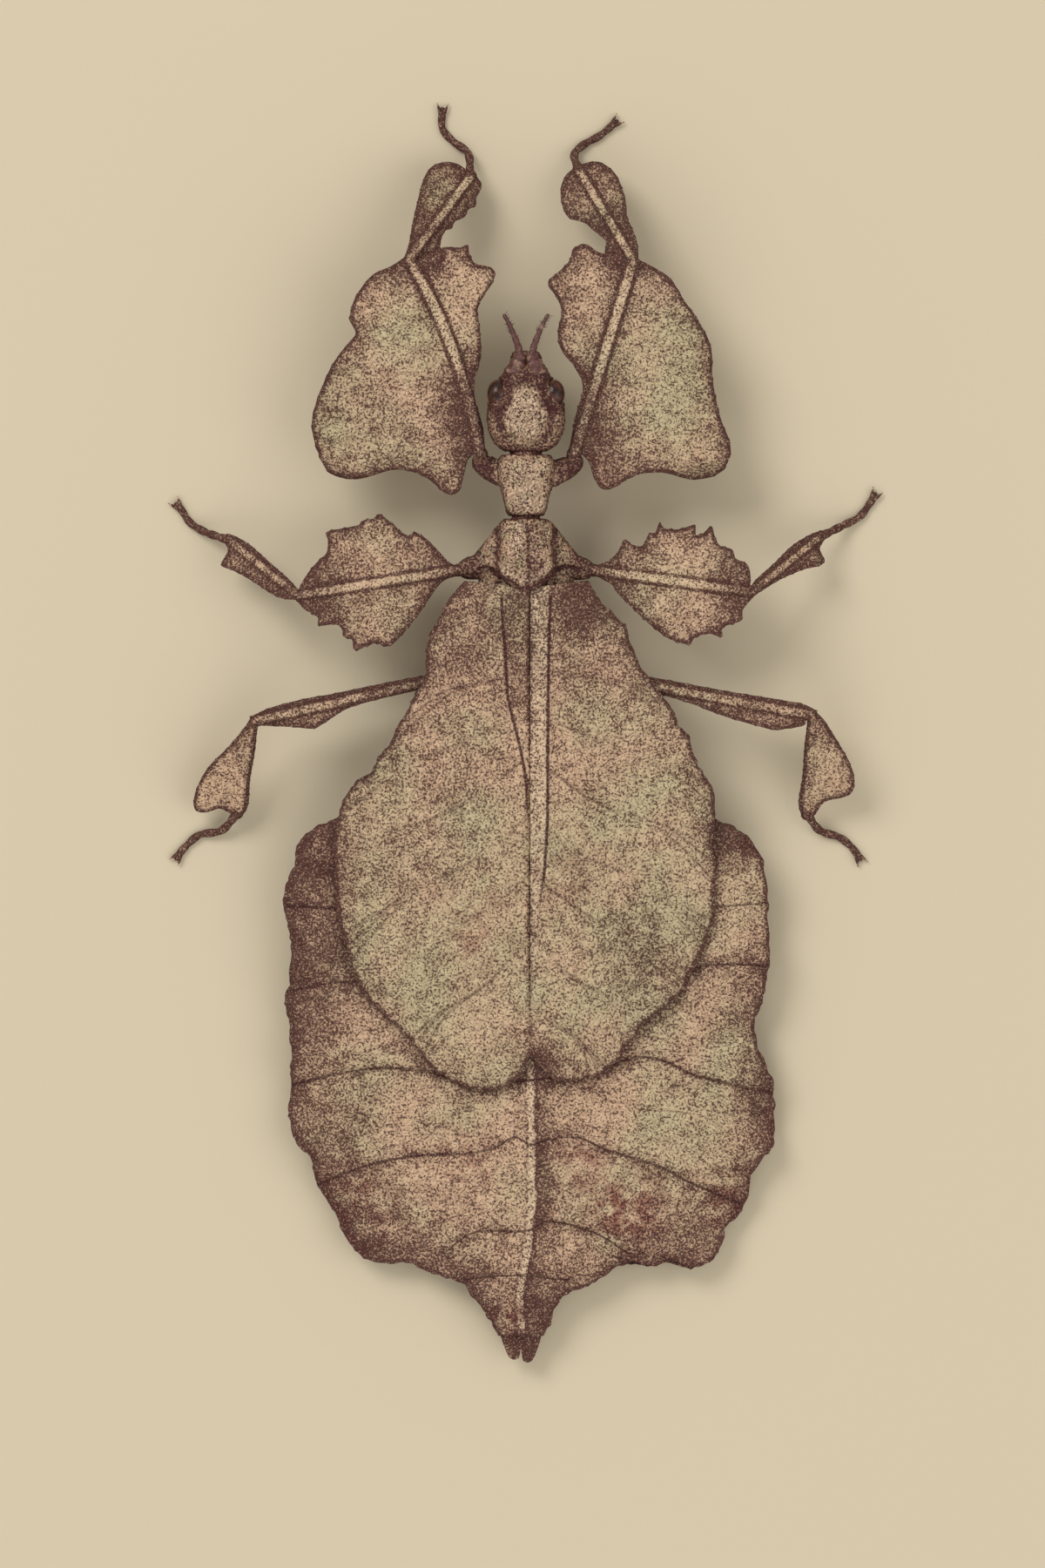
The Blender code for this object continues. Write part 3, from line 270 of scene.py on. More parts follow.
REAR = {
    "femur_fore_left": [
        (-0.03, 1.4), (-0.14, 2.6), (-0.14, 3.8), (-0.02, 5.1), (0.06, 7.2), (0.08, 10.4), (0.15, 12.4),
        (0.27, 12.8), (0.41, 12.5), (0.52, 11.3), (0.64, 9.3), (0.71, 7.6), (0.75, 6.4), (0.83, 6.4), (0.92, 5.3),
        (0.99, 3.4), (1, 1.7)],
    "femur_fore_right": [
        (-0.03, 1.4), (-0.12, 2.5), (-0.13, 3.7), (-0.02, 5.6), (0.03, 7.7), (0.04, 10.1), (0.1, 12), (0.18, 12.6),
        (0.27, 12.3), (0.38, 10.9), (0.54, 9.4), (0.7, 8.4), (0.8, 6.9), (0.89, 5), (0.97, 3.4), (1, 1.7)],
    "tibia_fore_left": [(0.11, 0.8), (0.29, 1.6), (0.47, 2.3), (0.66, 3), (0.81, 3.2), (0.92, 2.7), (0.99, 1.7)],
    "tibia_fore_right": [(0.1, 1), (0.23, 1.3), (0.37, 1.5), (0.55, 2.2), (0.75, 2.5), (0.9, 2.1), (0.97, 1.4)],
    "femur_mid_left": [
        (0.11, 0.9), (0.27, 3.1), (0.44, 5.1), (0.52, 5.4), (0.54, 5.1), (0.58, 5), (0.7, 5.3), (0.71, 4.4),
        (0.76, 4), (0.76, 3.4), (0.8, 2.9), (0.9, 2.8), (0.9, 2.1), (0.97, 1.3)],
    "femur_mid_right": [
        (0.11, 1), (0.15, 1.6), (0.27, 2.8), (0.4, 4), (0.53, 4.9), (0.65, 5.1), (0.68, 4.5), (0.76, 4),
        (0.85, 4.1), (0.85, 3.3), (0.96, 2.5), (0.96, 1.6)],
    "tibia_mid_left": [(0.1, 1), (0.23, 1.3), (0.5, 1.5), (0.71, 1.8), (0.85, 2.1), (0.88, 1.3), (0.9, 0.7)],
    "tibia_mid_right": [(0.31, 0.7), (0.59, 1.3), (0.75, 1.9), (0.83, 1.8), (0.85, 1.2), (0.88, 0.7)],
    "femur_hind_left": [(0.4, 0.5), (0.56, 0.7), (0.63, 1.1), (0.69, 1.5), (0.74, 1.7), (0.83, 1.2), (0.91, 0.8)],
    "femur_hind_right": [
        (0.3, 0.6), (0.47, 0.9), (0.55, 1.2), (0.65, 1.5), (0.76, 1.7), (0.85, 1.8), (0.9, 1.5), (0.97, 1)],
    "tibia_hind_left": [(0.3, 0.5), (0.6, 0.5), (0.86, 0.7)],
    "tibia_hind_right": [(0.33, 0.5), (0.6, 0.5), (0.85, 0.7)],
}
SHAFTS = {
    "femur_fore": 0.5,
    "femur_mid": 0.44,
    "femur_hind": 0.44,
    "tibia_fore": 0.42,
    "tibia_mid": 0.38,
    "tibia_hind": 0.34,
}
BLADE_ROWS = {
    "femur_fore": 210,
    "femur_mid": 200,
    "femur_hind": 150,
    "tibia_fore": 110,
    "tibia_mid": 90,
    "tibia_hind": 100,
}
BLADE_COLUMNS = {
    "femur_fore": 44,
    "femur_mid": 30,
    "femur_hind": 12,
    "tibia_fore": 18,
    "tibia_mid": 12,
    "tibia_hind": 18,
}
SHAFT_COLUMNS = 15
RIB_SIDE = 1.1
RIB_SHOWN = {"tibia_hind": 0.15, "femur_hind": 0.6, "femur_mid": 0.8}
BEVEL_FADE = 3.0
HEM = 0.06
LEG_HALF = 0.2
BLADE_DROOP = 1.1
BLADE_REACH = 12.0
BLADE_RIPPLE = 0.5
BLADE_WAVES = 9.0
BLADE_BOW = {"femur_fore_left": 0.8}
TEETH = {"femur_fore": (0.08, 0.95, 24, 0.1, 0.013), "femur_mid": (0.2, 0.9, 13, 0.14, 0.016)}
TEETH_PLAIN = (0.1, 0.92, 11, 0.06, 0.02)
LAST_JOINT = 0.999
TARSUS_JOINTS = 5
TARSUS_RADII = (0.36, 0.3)
ANKLE_DEPTH = 0.5
CLAW_LENGTH = 0.8
CLAW_SPREAD = math.radians(38)
CLAW_HOOK = 1.5
CLAW_LIFT = 0.1

# Soft patches of colour in plan: x, y, radius and strength.
OLIVE_PATCHES = [
    (9, 8, 7, 0.5), (7, 20, 7, 0.5), (-9.3, 18.4, 4.5, 0.9), (-11, 8, 6, 0.5), (-9, 24.5, 4, 0.5),
    (-17, 28, 4, 0.7), (-13.5, 33.5, 4.5, 0.8), (15.5, -25, 5, 0.9), (-12.5, -26.4, 6, 0.9), (10, -33, 4, 0.4),
    (-12, -34, 4, 0.5), (9, 33, 5, 0.6), (17.5, 33, 4, 0.5), (7, -43, 4, 0.5), (-7, -43, 4, 0.5),
    (-18.8, 16, 4, 0.5)]
MAROON_PATCHES = [
    (18.6, 11, 3.6, 0.45), (19.3, 19, 4.2, 0.5), (18, 25.5, 3, 0.3), (-4.6, -10.5, 2.6, 0.6),
    (-17.6, 8.5, 2.6, 0.7), (-12.5, 42.5, 3.6, 0.3), (-1.5, 27.8, 1.8, 0.6), (14.5, 42.5, 4, 0.35),
    (0.5, 52.6, 1.6, 0.8), (15.7, 33.8, 3.4, 0.3), (4.6, -6.5, 3.2, 0.25), (-18.8, 14.2, 3.2, -0.5),
    (-3.4, -4.6, 2.4, 0.25), (6, 3.5, 4, 0.12), (-1.2, 48.5, 1.5, 0.4), (3, 48, 1.6, 0.3), (-20.4, 32, 2, 0.5),
    (5, -26, 3.4, 0.55), (-6, -24.5, 3.4, 0.5), (17.3, -11.6, 2.2, 0.4), (-17.3, -11.6, 2.2, 0.35),
    (-9.3, 18.6, 3.6, 0.3), (4.3, -35, 3, -0.5), (25.9, 5.2, 2.6, -0.4), (-25.8, 4.4, 2.6, -0.2),
    (8.7, 11, 4.5, 0.15), (12.4, -26.8, 3.5, 0.3), (6.5, 43, 6, 0.12), (-13.3, -12.8, 3, -0.2)]
RED_PATCHES = [
    (-8.4, 40.7, 3.2, 0.9), (15, 40.5, 4, 0.6), (1.6, 49.6, 1.5, 0.9), (4, 17, 3.5, 0.35), (-3, 12, 3, 0.3),
    (-17.5, 39.8, 2.6, 0.7), (5.2, 36, 2.4, 0.4), (-19.5, 10.5, 2, 0.5), (-4.5, 36.5, 2.2, 0.5)]

OLIVE = (0.475, 0.395, 0.235)
TAN = (0.56, 0.38, 0.245)
PALE = (0.68, 0.525, 0.36)
RED = (0.22, 0.05, 0.04)
MAROON = (0.115, 0.034, 0.026)
DARK = (0.045, 0.012, 0.012)
EYE_DARK = (0.022, 0.008, 0.006)
EYE_BAND = (0.085, 0.028, 0.014)
EYE_NET = (0.015, 0.006, 0.005)
EYE_FLECK = (0.16, 0.07, 0.035)
FLOOR_PAINT = (0.58, 0.5, 0.36)
SKYLIGHT = (1.0, 0.97, 0.93)


def through(points, count):
    """A smooth line through the points, as evenly spaced points along it."""
    knots = np.array(points, float)
    padded = np.vstack([2 * knots[0] - knots[1], knots, 2 * knots[-1] - knots[-2]])
    t = np.linspace(0, 1, 12, endpoint=False)[:, None]
    pieces = []
    for a, b, c, d in zip(padded, padded[1:], padded[2:], padded[3:]):
        bend = (2 * a - 5 * b + 4 * c - d) * t**2 + (3 * b - a - 3 * c + d) * t**3
        pieces.append(b + ((c - a) * t + bend) / 2)
    line = np.vstack([*pieces, knots[-1:]])
    steps = np.linalg.norm(np.diff(line, axis=0), axis=1)
    length = np.concatenate([[0], np.cumsum(steps)])
    at = np.asarray(count) if np.ndim(count) else np.linspace(0, 1, count)
    return np.column_stack([np.interp(at * length[-1], length, column) for column in line.T])


def along(table, place):
    """Reads a table of (place, value) pairs between its entries."""
    places, values = zip(*table)
    return np.interp(place, places, values)


def bell(x):
    return np.exp(-x * x)


def ease(x, low, high):
    """Rises smoothly from 0 at low to 1 at high."""
    t = np.clip((x - low) / (high - low), 0, 1)
    return t * t * (3 - 2 * t)


def waves(x, y, size, seed, count=7):
    """Smooth unevenness of about -1 to 1, with humps of one size."""
    draw = np.random.default_rng(seed)
    total = 0.0
    for turn, shift, scale in draw.uniform((0, 0, 0.7), (2 * math.pi, 2 * math.pi, 1.5), (count, 3)):
        total = total + np.sin(2 * math.pi * scale / size * (x * math.cos(turn) + y * math.sin(turn)) + shift)
    return total / math.sqrt(count)


def distance_to(plan, line):
    """Distance in plan from each point to a line, and how far along the line its nearest place is."""
    flat = plan.reshape(-1, 2)
    best = np.full(len(flat), np.inf)
    place = np.zeros(len(flat))
    for k, (a, b) in enumerate(zip(line, line[1:])):
        step = b - a
        t = np.clip((flat - a) @ step / max(step @ step, MERGE), 0, 1)
        away = np.hypot(*(flat - a - t[:, None] * step).T)
        near = away < best
        best[near] = away[near]
        place[near] = (k + t)[near]
    return best.reshape(plan.shape[:-1]), place.reshape(plan.shape[:-1]) / (len(line) - 1)


def side_of(plan, line):
    """Distance in plan to a line, negative on its right-hand side."""
    away, place = distance_to(plan, line)
    k = np.minimum((place * (len(line) - 1)).astype(int), len(line) - 2)
    step, out = line[k + 1] - line[k], plan - line[k]
    return away * np.sign(step[..., 0] * out[..., 1] - step[..., 1] * out[..., 0])


def nearest(plan, lines):
    """The least distance to any of several lines."""
    return np.min([distance_to(plan, line)[0] for line in lines], axis=0)


def lobe_middle(x, y):
    """Height of the middle of the thin side lobes, which droop and ripple towards the margins."""
    outward = np.abs(x) / LOBE_REACH
    ripple = RIPPLE_HEIGHT * outward**3 * np.sin(2 * math.pi * y / RIPPLE_LENGTH)
    return LOBE_HEIGHT - LOBE_SLOPE * y - LOBE_DROOP * outward**2 + ripple


def back(x, y):
    """Height of the abdomen's upper face in the solids."""
    return lobe_middle(x, y) + LOBE_THICK / 2 + along(CORE_RISE, y) * bell(x / CORE_WIDTH)


def edge_half(distance, full):
    """Half the thickness of a lobe at a distance from its margin."""
    return EDGE_HALF + (full - EDGE_HALF) * (1 - np.exp(-distance / EDGE_SOFT))


def roughened(line, seed, height=ROUGH_HEIGHT):
    """Adds fine unevenness across a margin, fading out at its two ends."""
    ahead = np.gradient(line, axis=0)
    out = np.column_stack([-ahead[:, 1], ahead[:, 0]]) / np.maximum(np.linalg.norm(ahead, axis=1), MERGE)[:, None]
    x, y = line.T
    uneven = waves(x, y, ROUGH_LENGTH, seed) + 1.2 * waves(x, y, 3 * ROUGH_LENGTH, seed + 1)
    ends = np.minimum(1, np.minimum(np.arange(len(line)), np.arange(len(line))[::-1]) / 6)
    return line + (height * uneven * ends)[:, None] * out


# Closed shells are pairs of points and faces.
def sheet(top, bottom):
    """A closed sheet between two grids of points."""
    index = np.arange(top.shape[0] * top.shape[1]).reshape(top.shape[:2])
    quads = np.stack([index[:-1, :-1], index[:-1, 1:], index[1:, 1:], index[1:, :-1]], -1).reshape(-1, 4)
    rim = np.concatenate([index[0, :-1], index[:-1, -1], index[-1, :0:-1], index[:0:-1, 0]])
    after = np.roll(rim, -1)
    count = index.size
    walls = np.column_stack([rim, rim + count, after + count, after])
    faces = np.concatenate([quads, quads[:, ::-1] + count, walls])
    return np.concatenate([top.reshape(-1, 3), bottom.reshape(-1, 3)]), faces.tolist()


def skin(rings):
    """A closed skin over rings of points, with a fan of triangles over each end."""
    rings = np.asarray(rings)
    rows, sides = rings.shape[:2]
    index = np.arange(rows * sides).reshape(rows, sides)
    after = np.roll(index, -1, axis=1)
    faces = np.stack([index[:-1], after[:-1], after[1:], index[1:]], -1).reshape(-1, 4).tolist()
    first, last = rows * sides, rows * sides + 1
    faces += [[first, b, a] for a, b in zip(index[0], after[0])]
    faces += [[last, a, b] for a, b in zip(index[-1], after[-1])]
    return np.vstack([rings.reshape(-1, 3), rings[0].mean(axis=0), rings[-1].mean(axis=0)]), faces


def tube(path, radii, sides=16, flat=1.0):
    """A rod along a path with rounded ends; flat is its height over its width."""
    path, radii = np.asarray(path, float), np.broadcast_to(radii, len(path)).astype(float)
    length = np.concatenate([[0], np.cumsum(np.linalg.norm(np.diff(path, axis=0), axis=1))])
    for from_end in (length, length[-1] - length):
        radii = radii * np.sqrt(1 - (1 - np.clip(from_end / radii, 0.02, 1)) ** 2)
    ahead = np.gradient(path, axis=0)
    ahead /= np.linalg.norm(ahead, axis=1)[:, None]
    across = np.cross(ahead, (0, 0, 1))
    across /= np.linalg.norm(across, axis=1)[:, None]
    up = np.cross(across, ahead)
    turn = np.linspace(0, 2 * math.pi, sides, endpoint=False)[:, None]
    ring = np.cos(turn) * across[:, None] + flat * np.sin(turn) * up[:, None]
    return skin(path[:, None] + radii[:, None, None] * ring)


def ball(centre, size, rings=24):
    """An ellipsoid."""
    turn = np.linspace(0, 2 * math.pi, 2 * rings, endpoint=False)
    made = []
    for lift in np.linspace(-math.pi / 2, math.pi / 2, rings + 1)[1:-1]:
        ring = np.column_stack([np.cos(turn), np.sin(turn), np.full(len(turn), math.tan(lift))]) * math.cos(lift)
        made.append(np.array(centre) + ring * size)
    return skin(made)


def section(y, half_width, low, high, fullness, sides=72):
    """One ring across the body; fullness below 1 squares its corners."""
    turn = np.linspace(0, 2 * math.pi, sides, endpoint=False)
    across = np.sign(np.cos(turn)) * np.abs(np.cos(turn)) ** fullness
    up = np.sign(np.sin(turn)) * np.abs(np.sin(turn)) ** fullness
    z = (low + high) / 2 + (high - low) / 2 * up
    return np.column_stack([half_width * across, np.full(sides, y), z])


# Meshes and their painted fields.
def placed(name, data):
    made = bpy.data.objects.new(name, data)
    bpy.context.scene.collection.objects.link(made)
    return made


def build(name, shell):
    """Makes an object of a closed shell, its doubled points merged and its faces turned outwards."""
    points, faces = shell
    mesh = bpy.data.meshes.new(name)
    mesh.from_pydata((points * MM).tolist(), [], faces)
    shape = bmesh.new()
    shape.from_mesh(mesh)
    bmesh.ops.remove_doubles(shape, verts=shape.verts, dist=MERGE)
    bmesh.ops.recalc_face_normals(shape, faces=shape.faces)
    shape.to_mesh(mesh)
    shape.free()
    return placed(name, mesh)


def applied(piece):
    """Replaces a piece's mesh by what its modifiers make of it."""
    evaluated = piece.evaluated_get(bpy.context.evaluated_depsgraph_get())
    mesh = bpy.data.meshes.new_from_object(evaluated)
    piece.modifiers.clear()
    piece.data = mesh


def unite(name, shells):
    """Joins closed shells into one surface."""
    piece, *others = [build(name, shell) for shell in shells]
    group = bpy.data.collections.new(name + "_pieces")
    bpy.context.scene.collection.children.link(group)
    for other in others:
        bpy.context.scene.collection.objects.unlink(other)
        group.objects.link(other)
    change = piece.modifiers.new("unite", "BOOLEAN")
    change.operation = "UNION"
    change.operand_type = "COLLECTION"
    change.collection = group
    change.solver = "MANIFOLD"
    applied(piece)
    for other in others:
        bpy.data.objects.remove(other)
    bpy.data.collections.remove(group)
    return piece


def points_of(piece, what="co"):
    values = np.empty(3 * len(piece.data.vertices))
    piece.data.vertices.foreach_get(what, values)
    return values.reshape(-1, 3) / (MM if what == "co" else 1)


def move_points(piece, points):
    piece.data.vertices.foreach_set("co", (points * MM).ravel())
    piece.data.update()


def measure(piece, fields):
    """Keeps lengths and phases with the points, for lines that the materials draw."""
    for name, values in fields.items():
        layer = piece.data.attributes.new(name, "FLOAT", "POINT")
        layer.data.foreach_set("value", np.asarray(values, np.float32))


def paint(piece, fields):
    measure(piece, {name: np.clip(values, 0, 1) for name, values in fields.items()})


def patches(x, y, table):
    return sum(strength * bell(np.hypot(x - a, y - b) / radius) for a, b, radius, strength in table)


def dress(piece, material, slot, *nodes):
    piece.data.materials.clear()
    piece.data.materials.append(material)
    piece.data.shade_smooth()
    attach(piece, "root")
    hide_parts(*nodes)


class Look:
    """One procedural material, built up from noises, cells and painted fields."""

    def __init__(self, name):
        self.material = bpy.data.materials.new(name)
        self.material.use_nodes = True
        self.tree = self.material.node_tree
        self.shader = self.tree.nodes["Principled BSDF"]
        self.place = self.node("ShaderNodeTexCoord", {}).outputs["Object"]

    def node(self, kind, inputs, **settings):
        made = self.tree.nodes.new(kind)
        for key, value in settings.items():
            setattr(made, key, value)
        for socket, value in inputs.items():
            if isinstance(value, bpy.types.NodeSocket):
                self.tree.links.new(value, made.inputs[socket])
            else:
                made.inputs[socket].default_value = value
        return made

    def field(self, name):
        return self.node("ShaderNodeAttribute", {}, attribute_name=name).outputs["Fac"]

    def noise(self, size, detail=2.0, roughness=0.5):
        inputs = {"Vector": self.place, "Scale": 1 / (size * MM), "Detail": detail, "Roughness": roughness}
        return self.node("ShaderNodeTexNoise", inputs).outputs["Fac"]

    def cells(self, size, feature="F1"):
        inputs = {"Vector": self.place, "Scale": 1 / (size * MM)}
        return self.node("ShaderNodeTexVoronoi", inputs, feature=feature).outputs["Distance"]

    def math(self, operation, a, b=0.0):
        return self.node("ShaderNodeMath", {0: a, 1: b}, operation=operation, use_clamp=True).outputs[0]

    def times(self, a, b):
        return self.math("MULTIPLY", a, b)

    def plus(self, a, b):
        return self.math("ADD", a, b)

    def mad(self, a, scale, offset):
        """a times scale plus offset, not held between 0 and 1."""
        return self.node("ShaderNodeMath", {0: a, 1: scale, 2: offset}, operation="MULTIPLY_ADD").outputs[0]

    def remap(self, value, low, high, to_low=0.0, to_high=1.0):
        inputs = {"Value": value, "From Min": low, "From Max": high, "To Min": to_low, "To Max": to_high}
        return self.node("ShaderNodeMapRange", inputs, interpolation_type="SMOOTHSTEP").outputs["Result"]

    def mix(self, factor, a, b):
        colours = [value if isinstance(value, bpy.types.NodeSocket) else (*value, 1.0) for value in (a, b)]
        made = self.node("ShaderNodeMix", {0: factor, 6: colours[0], 7: colours[1]}, data_type="RGBA")
        return made.outputs[2]

    def away(self, name, line=0.0):
        """How far a measured field is from a value, or from its negative."""
        size = self.node("ShaderNodeMath", {0: self.field(name)}, operation="ABSOLUTE").outputs[0]
        return self.node("ShaderNodeMath", {0: self.mad(size, 1.0, -line)}, operation="ABSOLUTE").outputs[0]

    def repeated(self, name, half):
        """Lines where a measured phase is a whole number; half is their half width in phases."""
        wave = self.node("ShaderNodeMath", {0: self.field(name), 1: 0.5}, operation="PINGPONG").outputs[0]
        return self.remap(wave, 0.4 * half, 1.4 * half, 1.0, 0.0)

    def bump(self, height, distance, strength=1.0, under=None):
        inputs = {"Height": height, "Distance": distance * MM, "Strength": strength}
        if under is not None:
            inputs["Normal"] = under
        return self.node("ShaderNodeBump", inputs).outputs["Normal"]

    def over(self, colour, paint, amount, share=1.0):
        """Lays a paint over a colour, at most by a share."""
        return self.mix(amount if share == 1.0 else self.times(amount, share), colour, paint)

    def finished(self, colour, roughness, normal, specular):
        for socket, value in (("Base Color", colour), ("Roughness", roughness), ("Normal", normal)):
            self.tree.links.new(value, self.shader.inputs[socket])
        self.shader.inputs["Specular IOR Level"].default_value = specular
        return self.material


def leaf_look(name, green, warmth=0.0, lines="ribs"):
    """Matt, stippled and finely netted, like a leaf that starts to wither.

    The lines are "ribs", "sutures" with a midrib, or the "veins" of a wing.
    """
    look = Look(name)
    cloud = look.noise(6.0, 3.0)
    mottle = look.noise(1.3, 4.0, 0.6)
    grain = look.noise(0.18, 2.0, 0.7)
    net = look.remap(look.cells(0.85, "DISTANCE_TO_EDGE"), 0.0, 0.09, 1.0, 0.0)
    rim = look.remap(look.field("edge"), 0.05, 0.45, 1.0, 0.0)
    beside = look.away("line", 0.0 if lines == "veins" else RIB_SIDE)
    flank = look.times(look.remap(beside, 0.1, 0.55, 1.0, 0.0), look.field("rib"))
    greenness = look.plus(look.times(look.field("olive"), 0.85), look.mad(cloud, 3.4, green - 1.7))
    colour = look.mix(greenness, TAN, OLIVE)
    # The maroon field holds each part's own maroon colour together with the painted shade laid into it.
    darkness = look.plus(look.field("maroon"), look.mad(mottle, 1.5, warmth - 0.75))
    darkness = look.plus(look.plus(darkness, look.times(rim, 0.75)), look.times(flank, 0.6))
    if lines == "veins":
        drawn = look.math("MAXIMUM", look.field("vein"), look.times(flank, 0.9))
        colour = look.over(colour, PALE, look.field("pale"))
    else:
        core = look.times(look.remap(look.away("line"), 0.3, 0.9, 1.0, 0.0), look.field("rib"))
        colour = look.over(colour, PALE, look.plus(look.field("pale"), look.times(core, 0.22)))
        darkness = look.math("SUBTRACT", darkness, look.times(core, 0.3))
    colour = look.over(colour, RED, look.times(look.field("red"), look.remap(mottle, 0.38, 0.6)))
    colour = look.over(colour, MAROON, darkness, 0.66)
    colour = look.over(colour, MAROON, net, 0.16)
    relief = look.bump(mottle, 0.12, 0.6, look.bump(net, 0.045))
    if lines != "veins":
        faint = look.times(look.repeated("net", 0.026), look.field("fine"))
        colour = look.over(colour, MAROON, faint, 0.45)
    if lines == "sutures":
        drawn = look.times(look.repeated("suture", 0.015), look.field("vein"))
        relief = look.bump(look.remap(drawn, 0.0, 1.0, 1.0, 0.0), 0.08, 1.0, relief)
    if lines != "ribs":
        colour = look.over(colour, DARK, drawn, 0.85)
    dots = look.remap(look.plus(grain, look.mad(darkness, 0.16, 0.0)), 0.505, 0.595)
    colour = look.over(colour, DARK, dots, 0.88)
    specks = look.remap(look.noise(0.14, 1.0), 0.6, 0.72)
    colour = look.over(colour, PALE, specks, 0.35)
    roughness = look.remap(mottle, 0.3, 0.7, 0.56, 0.8)
    return look.finished(colour, roughness, look.bump(grain, 0.045, 0.8, relief), 0.14)


def body_look(name):
    """Tan and granular, darker in its grooves."""
    look = Look(name)
    mottle = look.noise(0.9, 4.0, 0.6)
    grain = look.noise(0.2, 2.0, 0.65)
    domes = look.remap(look.cells(0.24), 0.1, 0.6, 1.0, 0.0)
    colour = look.mix(look.remap(mottle, 0.35, 0.65), TAN, OLIVE)
    # The pale and maroon fields hold the skin's own colours, with painted light on the mesonotum's ridge and painted
    # shade on its sides and beside that ridge.
    colour = look.over(colour, PALE, look.field("pale"))
    darkness = look.plus(look.field("maroon"), look.mad(mottle, 1.2, -0.6))
    colour = look.over(colour, MAROON, darkness, 0.86)
    colour = look.over(colour, MAROON, look.remap(domes, 0.0, 0.35, 1.0, 0.0), 0.5)
    dots = look.remap(look.plus(grain, look.mad(darkness, 0.14, 0.0)), 0.52, 0.59)
    colour = look.over(colour, DARK, dots, 0.95)
    roughness = look.remap(mottle, 0.3, 0.7, 0.42, 0.66)
    return look.finished(colour, roughness, look.bump(grain, 0.03, 0.8, look.bump(domes, 0.05)), 0.2)


def feeler_look(name):
    """Dark maroon with tan flecks, darkest at the joints."""
    look = Look(name)
    mottle = look.noise(0.5, 3.0)
    grain = look.noise(0.1, 2.0)
    colour = look.mix(look.remap(mottle, 0.5, 0.72, 0.0, 0.6), MAROON, TAN)
    colour = look.over(colour, DARK, look.field("maroon"), 0.85)
    colour = look.over(colour, DARK, look.remap(grain, 0.56, 0.7, 0.0, 0.5))
    return look.finished(colour, look.remap(mottle, 0.3, 0.7, 0.35, 0.6), look.bump(grain, 0.03), 0.5)


def eye_look(name):
    """Dark brown and glossy, with lighter bands and a fine net between the facets."""
    look = Look(name)
    cloud = look.noise(0.7, 2.0)
    fine = look.noise(0.12, 2.0)
    colour = look.mix(look.remap(cloud, 0.42, 0.62), EYE_DARK, EYE_BAND)
    colour = look.over(colour, EYE_NET, look.field("facet"), 0.55)
    colour = look.over(colour, EYE_FLECK, look.remap(fine, 0.58, 0.72, 0.0, 0.4))
    look.shader.inputs["Coat Weight"].default_value = 0.05
    look.shader.inputs["Coat Roughness"].default_value = 0.08
    return look.finished(colour, look.remap(fine, 0.3, 0.7, 0.08, 0.18), look.bump(fine, 0.008), 0.3)


# The abdomen.
def across(left, middle, right):
    """Plan points from the left margin over the middle to the right margin, closer together at the margins."""
    steps = np.sin(np.linspace(0, 1, ABDOMEN_COLUMNS) * math.pi / 2)[:, None, None]
    left_half = (middle + steps[::-1] * (left - middle)).swapaxes(0, 1)
    right_half = (middle + steps[1:] * (right - middle)).swapaxes(0, 1)
    return np.concatenate([left_half, right_half], axis=1)


def abdomen_lines():
    margins = []
    for seed, margin, tail in ((1, MARGIN_LEFT, TAIL_LEFT), (3, MARGIN_RIGHT, TAIL_RIGHT)):
        line = np.vstack([through(margin, ABDOMEN_ROWS), through(tail, TAIL_ROWS)])
        margins.append(roughened(line, seed))
    middle = np.vstack([through(MIDDLE_LINE, ABDOMEN_ROWS), through(TAIL_MIDDLE, TAIL_ROWS)])
    return margins[0], middle, margins[1]


